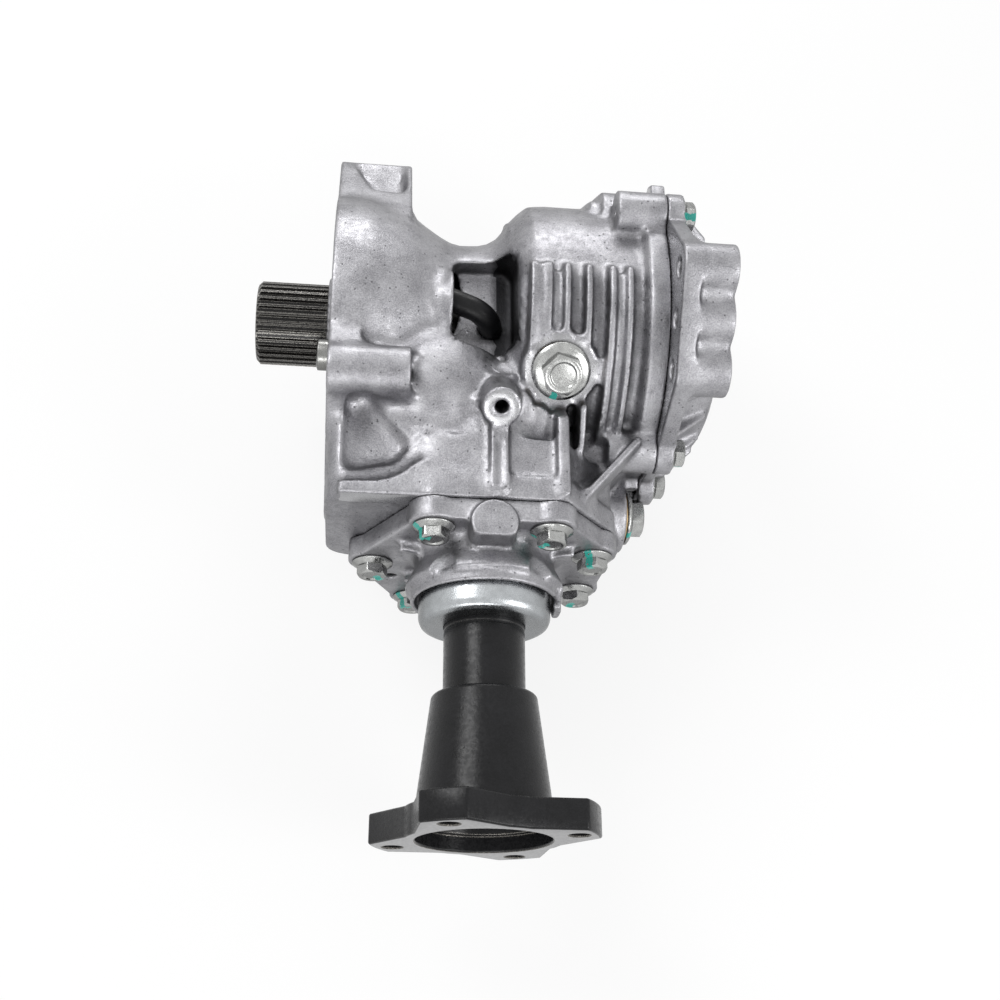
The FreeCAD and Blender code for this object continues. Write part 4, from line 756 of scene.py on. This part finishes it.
hub = (top - PLATE_Y) / MM
sleeve_r = 20.4             # the tube between the cone and the dust cover
tube_profile = [
    (1.0, 0), (1.0, 33), (PLATE_T, 33.0), (68.3, 26.2), (69.5, 25.0), (69.5, sleeve_r), (101.5, sleeve_r),
    (102, 20.0), (103, 20.0), (103.5, sleeve_r), (hub - 1, sleeve_r), (hub, sleeve_r - 1), (hub, 0)]
tube = turned(eased(along_y(tube_profile), 0.0009), origin, Y_AXIS, 160)
plate = prism(lobed_outline(), (PINION_X, PLATE_Y, 0), Y_AXIS, PLATE_T * MM, side=X_AXIS * -1)
flange_mesh = combined(bevelled(plate, 0.0011, 3, 25), [tube], "UNION")
pilot = PILOT_R / MM
pilot_end = PILOT_L / MM
bore_profile = [
    (-1, pilot + 1.6), (0.0, pilot + 0.8), (0.8, pilot), (pilot_end, pilot), (pilot_end, pilot - 4),
    (PLATE_T + 2, pilot - 5), (61.5, 16.6), (100.5, 16.6), (100.5, 14.5), (hub + 1, 14.5), (hub + 1, 0),
    (-1, 0)]
bore = turned(eased(along_y(bore_profile), 0.0004), origin, Y_AXIS, 128)
hole_l = PLATE_T * MM
hole_profile = [
    (-0.001, 0), (-0.001, PLATE_HOLE_R + 0.0016), (0.0006, PLATE_HOLE_R), (hole_l - 0.0006, PLATE_HOLE_R),
    (hole_l + 0.001, PLATE_HOLE_R + 0.0016), (hole_l + 0.001, 0)]
holes = []
for k in range(LOBES):
    angle = math.radians(LOBE_TURN + 90 * k)
    centre = Vector((PINION_X + BOLT_CIRCLE_R * math.cos(angle), PLATE_Y, BOLT_CIRCLE_R * math.sin(angle)))
    holes.append(turned(hole_profile, centre, Y_AXIS, 48))
flange_mesh = combined(flange_mesh, [bore] + holes, "DIFFERENCE")
machine(flange_mesh, [((PINION_X, PLATE_Y, 0), (0, -1, 0), WHOLE_FACE)])
new_piece("companion_flange_forging", flange_mesh, (FLANGE_BLACK, BARE), "pinion_train",
          ("companion_flange",))

# ---- dust cover: pressed cup with a rolled lip ----
dust_low, dust_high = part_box("dust_cover")
dust_r = (dust_high.x - dust_low.x) / 2 / MM
dust_l = (dust_high.y - dust_low.y) / MM
cup = [(0, sleeve_r), (0, dust_r - 4), (1.2, dust_r - 1.2), (4, dust_r), (dust_l - 1.2, dust_r),
       (dust_l, dust_r - 0.3), (dust_l, dust_r - 1.3), (dust_l - 1.4, dust_r - 1.5), (4.5, dust_r - 1.5),
       (2.4, dust_r - 2.6), (1.5, dust_r - 4.6), (1.5, sleeve_r)]
pressing = turned(eased([(dust_low.y + a * MM, r * MM) for a, r in cup], 0.001), origin, Y_AXIS, 160)
new_piece("dust_cover_pressing", pressing, (DUST,), "pinion_train", ("dust_cover",))


# ---- bolts and plugs ----
def hex_outline(flats):
    """Corners of a hexagon from its width across the flats."""
    corner = flats / math.sqrt(3)
    angles = [math.radians(60 * k) for k in range(6)]
    return [(corner * math.cos(angle), corner * math.sin(angle)) for angle in angles]


def flanged_head(flats, height, skirt_r, skirt_t, shank_r, shank_l, dish_r, dish, mark_shift=0.0):
    """Head along +Z with its seat at z = 0: washer skirt, hexagon with turned corners and a dished top."""
    hexagon = prism(hex_outline(flats * MM), (0, 0, 0.0005), Z_AXIS, (height + 2) * MM, side=X_AXIS)
    hexagon = bevelled(hexagon, 0.00035, 2, 20)
    corner = flats / math.sqrt(3)
    cap_profile = mm([
        (0.4, 0), (0.4, corner + 1), (height - 1.6, corner + 0.4), (height, flats / 2 * 0.93),
        (height, dish_r), (height - dish, dish_r - dish), (height - dish, 0)])
    skirt_profile = mm([
        (0, 0), (0, skirt_r - 0.4), (0.5, skirt_r), (skirt_t * 0.5, skirt_r), (skirt_t, skirt_r - 1.6),
        (skirt_t + 1.0, flats / 2 + 0.7), (skirt_t + 1.2, 0)])
    shank_profile = mm([
        (-shank_l, 0), (-shank_l, shank_r - 0.8), (-shank_l + 1, shank_r), (0.3, shank_r), (0.3, 0)])
    cap = turned(eased(cap_profile, 0.0003, 2), (0, 0, 0), Z_AXIS, 64)
    head = combined(hexagon, [cap], "INTERSECT")
    skirt = turned(eased(skirt_profile, 0.0003, 2), (0, 0, 0), Z_AXIS, 72)
    shank = turned(shank_profile, (0, 0, 0), Z_AXIS, 36)
    mesh = combined(skirt, [head, shank], "UNION")
    plan = mesh.attributes.new("head_plan", "FLOAT_VECTOR", "POINT")
    coordinates = np.zeros(len(mesh.vertices) * 3, np.float32)
    mesh.vertices.foreach_get("co", coordinates)
    coordinates[1::3] -= mark_shift
    plan.data.foreach_set("vector", coordinates)
    return mesh


def repeat_tree(name):
    """Geometry Nodes: stands the template on every point, turned by the point's own angles."""
    tree = bpy.data.node_groups.new(name, "GeometryNodeTree")
    tree.interface.new_socket("Geometry", in_out="INPUT", socket_type="NodeSocketGeometry")
    template = tree.interface.new_socket("Template", in_out="INPUT", socket_type="NodeSocketObject")
    finish = tree.interface.new_socket("Finish", in_out="INPUT", socket_type="NodeSocketMaterial")
    tree.interface.new_socket("Geometry", in_out="OUTPUT", socket_type="NodeSocketGeometry")
    make = tree.nodes.new
    start, end = make("NodeGroupInput"), make("NodeGroupOutput")
    points, shape = make("GeometryNodeMeshToPoints"), make("GeometryNodeObjectInfo")
    stand, turn = make("GeometryNodeInstanceOnPoints"), make("GeometryNodeInputNamedAttribute")
    real, colour = make("GeometryNodeRealizeInstances"), make("GeometryNodeSetMaterial")
    turn.data_type = "FLOAT_VECTOR"
    turn.inputs["Name"].default_value = "turn"
    for source, socket, target, entry in (
            (start, "Geometry", points, "Mesh"), (start, "Template", shape, "Object"),
            (points, "Points", stand, "Points"), (shape, "Geometry", stand, "Instance"),
            (turn, "Attribute", stand, "Rotation"), (stand, "Instances", real, "Geometry"),
            (real, "Geometry", colour, "Geometry"), (start, "Finish", colour, "Material"),
            (colour, "Geometry", end, "Geometry")):
        tree.links.new(source.outputs[socket], target.inputs[entry])
    return tree, {"Template": template.identifier, "Finish": finish.identifier}


REPEAT, REPEAT_INPUTS = repeat_tree("repeat_on_points")


def repeated(template, places, finish, name):
    """One mesh of the template stood at each (point, axis, spin) place."""
    seed = bpy.data.meshes.new(name + "_places")
    seed.from_pydata([tuple(point) for point, axis, spin in places], [], [])
    turns = seed.attributes.new("turn", "FLOAT_VECTOR", "POINT")
    for item, (point, axis, spin) in zip(turns.data, places):
        rotation = Vector(axis).to_track_quat("Z", "Y").to_matrix() @ Matrix.Rotation(spin, 3, "Z")
        item.vector = rotation.to_euler()
    holder = bpy.data.objects.new(name + "_places", seed)
    sample = bpy.data.objects.new(name + "_template", template)
    for item in (holder, sample):
        bpy.context.scene.collection.objects.link(item)
    copies = holder.modifiers.new("copies", "NODES")
    copies.node_group = REPEAT
    copies[REPEAT_INPUTS["Template"]] = sample
    copies[REPEAT_INPUTS["Finish"]] = finish
    mesh = bpy.data.meshes.new_from_object(holder.evaluated_get(bpy.context.evaluated_depsgraph_get()))
    holder.modifiers.remove(copies)
    for item in (holder, sample):
        bpy.data.objects.remove(item)
    return mesh


def islands(node):
    """Lowest and highest corner of each separate solid of a node."""
    work = bmesh.new()
    work.from_mesh(NODES[node].data)
    bmesh.ops.remove_doubles(work, verts=work.verts, dist=WELD)
    seen = set()
    boxes = []
    for vert in work.verts:
        if vert in seen:
            continue
        stack = [vert]
        seen.add(vert)
        points = []
        while stack:
            here = stack.pop()
            points.append(here.co.copy())
            for edge in here.link_edges:
                other = edge.other_vert(here)
                if other not in seen:
                    seen.add(other)
                    stack.append(other)
        boxes.append((Vector([min(p[i] for p in points) for i in range(3)]),
                      Vector([max(p[i] for p in points) for i in range(3)])))
    work.free()
    return boxes


BOLT = {"flats": 14.0, "height": 8.0, "skirt_r": 10.6, "skirt_t": 2.0, "dish_r": 5.2, "dish": 0.9}
PLUG = {"flats": 19.0, "height": 10.0, "skirt_r": 15.0, "skirt_t": 2.6, "dish_r": 7.0, "dish": 1.0,
        "shank_r": 8.9, "shank_l": 13.5, "mark_shift": 0.0088}
COVER_SPIN = 0.6            # turn of the first cover bolt, and the step from each to the next, in radians
COVER_SPIN_STEP = 1.37
CARRIER_SPINS = (1.2, 1.9, 0.4, 2.6, 0.9, 4.0)
GASKET_T = 1.6
GASKET_R = 14.0
GASKET_BORE_R = 9.1
PLUG_SPINS = {"filler_plug": 2.9, "drain_plug": 1.1}

head_h = BOLT["height"] * MM
cover_places = []
for count, (low, high) in enumerate(islands("cover_bolts")):
    middle = (low + high) / 2
    cover_places.append(((high.x - head_h, middle.y, middle.z), X_AXIS, COVER_SPIN + COVER_SPIN_STEP * count))
carrier_places = []
for (low, high), spin in zip(islands("carrier_bolts"), CARRIER_SPINS):
    middle = (low + high) / 2
    carrier_places.append(((middle.x, low.y + head_h, middle.z), Y_AXIS * -1, spin))
for name, places, shank_r, shank_l in (("cover_bolt", cover_places, 3.95, 29.5),
                                       ("carrier_bolt", carrier_places, 4.95, 31.5)):
    bolts = repeated(flanged_head(shank_r=shank_r, shank_l=shank_l, **BOLT), places, ZINC, name)
    new_piece(name + "_set", bolts, (ZINC,), "housing", (name + "s",))
for node, seat, axis in (("filler_plug", FILLER_SEAT, SLANT), ("drain_plug", DRAIN_SEAT, X_AXIS)):
    place = [(seat + axis * GASKET_T * MM, axis, PLUG_SPINS[node])]
    plug = repeated(flanged_head(**PLUG), place, ZINC, node)
    new_piece(node + "_turned", plug, (ZINC,), "housing", (node,))
    profile = mm([(0, GASKET_BORE_R), (0, GASKET_R), (GASKET_T, GASKET_R), (GASKET_T, GASKET_BORE_R)])
    gasket = node.replace("plug", "gasket")
    new_piece(gasket + "_ring", turned(eased(profile, 0.0005), seat, axis, 96), (COPPER,), "housing",
              (gasket,))

# ---- dowel rings ----
dowel_meshes = []
for low, high in islands("dowel_rings"):
    middle = (low + high) / 2
    reach = (high.x - low.x) / MM
    profile = mm([(0, 6.6), (0.7, 8.4), (reach - 0.7, 8.4), (reach, 7.9), (reach, 6.2), (0, 6.2)])
    dowel_meshes.append(turned(eased(profile, 0.0003), (low.x, middle.y, middle.z), X_AXIS, 72))
dowels = merged(dowel_meshes, "dowel_ring_pair")
new_piece("dowel_ring_pair", dowels, (DOWEL,), "housing", ("dowel_rings",))

# ---- carried-over solids ----
CARRIED_OVER = {
    "input_shaft": SHAFT_BLACK, "ring_gear": GEAR, "drive_pinion": GEAR, "ring_gear_bolts": BLACK_BOLT,
    "collapsible_spacer": PRESSED, "flange_nut": ZINC, "flange_washer": ZINC, "right_shim": GROUND,
    "breather_hose": HOSE, "input_seal": SEAL, "driveshaft_seal": SEAL, "pinion_seal": SEAL,
    "cover_o_ring": SEAL, "carrier_o_ring": SEAL}
for side in ("left", "right", "head", "tail"):
    for kind, material in (("cup", GROUND), ("cone", GROUND), ("rollers", GROUND), ("cage", PRESSED)):
        CARRIED_OVER[side + "_bearing_" + kind] = material
for node, material in CARRIED_OVER.items():
    NODES[node].data.materials.clear()
    NODES[node].data.materials.append(material)

# ---- floor, light and camera ----
scene = bpy.context.scene
scene.view_settings.view_transform = "Standard"
FLOOR_HALF = 4.0
FLOOR_GAP = 0.0005
FLOOR_GLOW = 0.82           # share of plain white in the floor under the part; the rest takes shadow
FLOOR_FADE = (0.45, 1.3)    # the floor turns all white between these distances from the origin
AMBIENT = 0.45              # strength of the white world on diffuse surfaces


def make_floor():
    """White floor that keeps the shadow near the part and runs into the background away from it."""
    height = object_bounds()[0].z - FLOOR_GAP
    mesh = bpy.data.meshes.new("floor")
    corners = [(x * FLOOR_HALF, y * FLOOR_HALF, height) for x, y in ((-1, -1), (1, -1), (1, 1), (-1, 1))]
    mesh.from_pydata(corners, [], [(0, 1, 2, 3)])
    floor = bpy.data.objects.new("floor", mesh)
    scene.collection.objects.link(floor)
    material = bpy.data.materials.new("floor_white")
    material.use_nodes = True
    tree = material.node_tree
    tree.nodes.clear()
    paths = add(tree, "LightPath").outputs
    white = add(tree, "Emission", {"Color": (1, 1, 1, 1), "Strength": 1.0})
    plain = add(tree, "BsdfDiffuse", {"Color": (0.9, 0.9, 0.9, 1)})
    place = add(tree, "TexCoord").outputs["Object"]
    away = add(tree, "VectorMath", {0: place}, operation="LENGTH").outputs["Value"]
    seen = maths(tree, "ADD", paths["Is Camera Ray"], paths["Is Glossy Ray"], clamp=True)
    share = maths(tree, "MULTIPLY", seen, span(tree, stepped(tree, away, *FLOOR_FADE), FLOOR_GLOW, 1.0))
    mixed = add(tree, "MixShader", {0: share, 1: plain.outputs[0], 2: white.outputs[0]})
    add(tree, "OutputMaterial", {"Surface": mixed.outputs[0]})
    mesh.materials.append(material)


def make_world():
    """White world, dimmer for the light that it throws on diffuse surfaces."""
    world = bpy.data.worlds.new("studio")
    world.use_nodes = True
    tree = world.node_tree
    tree.nodes.clear()
    paths = add(tree, "LightPath").outputs
    direct = maths(tree, "ADD", maths(tree, "ADD", paths["Is Camera Ray"], paths["Is Glossy Ray"]),
                   paths["Is Transmission Ray"], clamp=True)
    strength = span(tree, direct, AMBIENT, 1.0)
    background = add(tree, "Background", {"Color": (1, 1, 1, 1), "Strength": strength})
    add(tree, "OutputWorld", {"Surface": background.outputs[0]})
    scene.world = world


def make_lamp(name, at, target, size, power):
    """Area lamp of the given size and watts, aimed at target."""
    data = bpy.data.lights.new(name, "AREA")
    data.shape = "RECTANGLE"
    data.size, data.size_y = size
    data.energy = power
    lamp = bpy.data.objects.new(name, data)
    lamp.location = at
    lamp.rotation_mode = "QUATERNION"
    lamp.rotation_quaternion = (Vector(at) - Vector(target)).to_track_quat("Z", "Y")
    scene.collection.objects.link(lamp)


CAMERA_AT = (0.0205, -0.3835, 0.6175)
CAMERA_RIGHT = Vector((0.9936, -0.0040, 0.1129))
CAMERA_BACK = Vector((-0.1045, -0.4147, 0.9040))
CAMERA_LENS = 46.8


def make_camera():
    """Camera from its place, its right hand and the direction behind it."""
    data = bpy.data.cameras.new("camera")
    data.sensor_width = 36.0
    data.lens = CAMERA_LENS
    data.clip_start, data.clip_end = 0.01, 20.0
    camera = bpy.data.objects.new("camera", data)
    back = CAMERA_BACK.normalized()
    up = back.cross(CAMERA_RIGHT).normalized()
    right = up.cross(back)
    camera.matrix_world = Matrix.Translation(CAMERA_AT) @ Matrix((right, up, back)).transposed().to_4x4()
    scene.collection.objects.link(camera)
    scene.camera = camera


make_floor()
make_world()
for name, at, target, size, power in (
        ("key", (-0.55, 0.35, 0.85), (0.08, -0.08, 0.0), (0.48, 0.48), 4.9),
        ("fill", (0.85, -0.55, 0.6), (0.08, -0.08, 0.0), (0.35, 0.6), 4.0),
        ("rear", (0.1, 0.9, 0.5), (0.08, -0.05, 0.0), (0.6, 0.25), 3.5),
        ("front", (-0.15, -1.0, 0.45), (0.06, -0.12, 0.0), (0.7, 0.35), 3.5)):
    make_lamp(name, at, target, size, power)
make_camera()
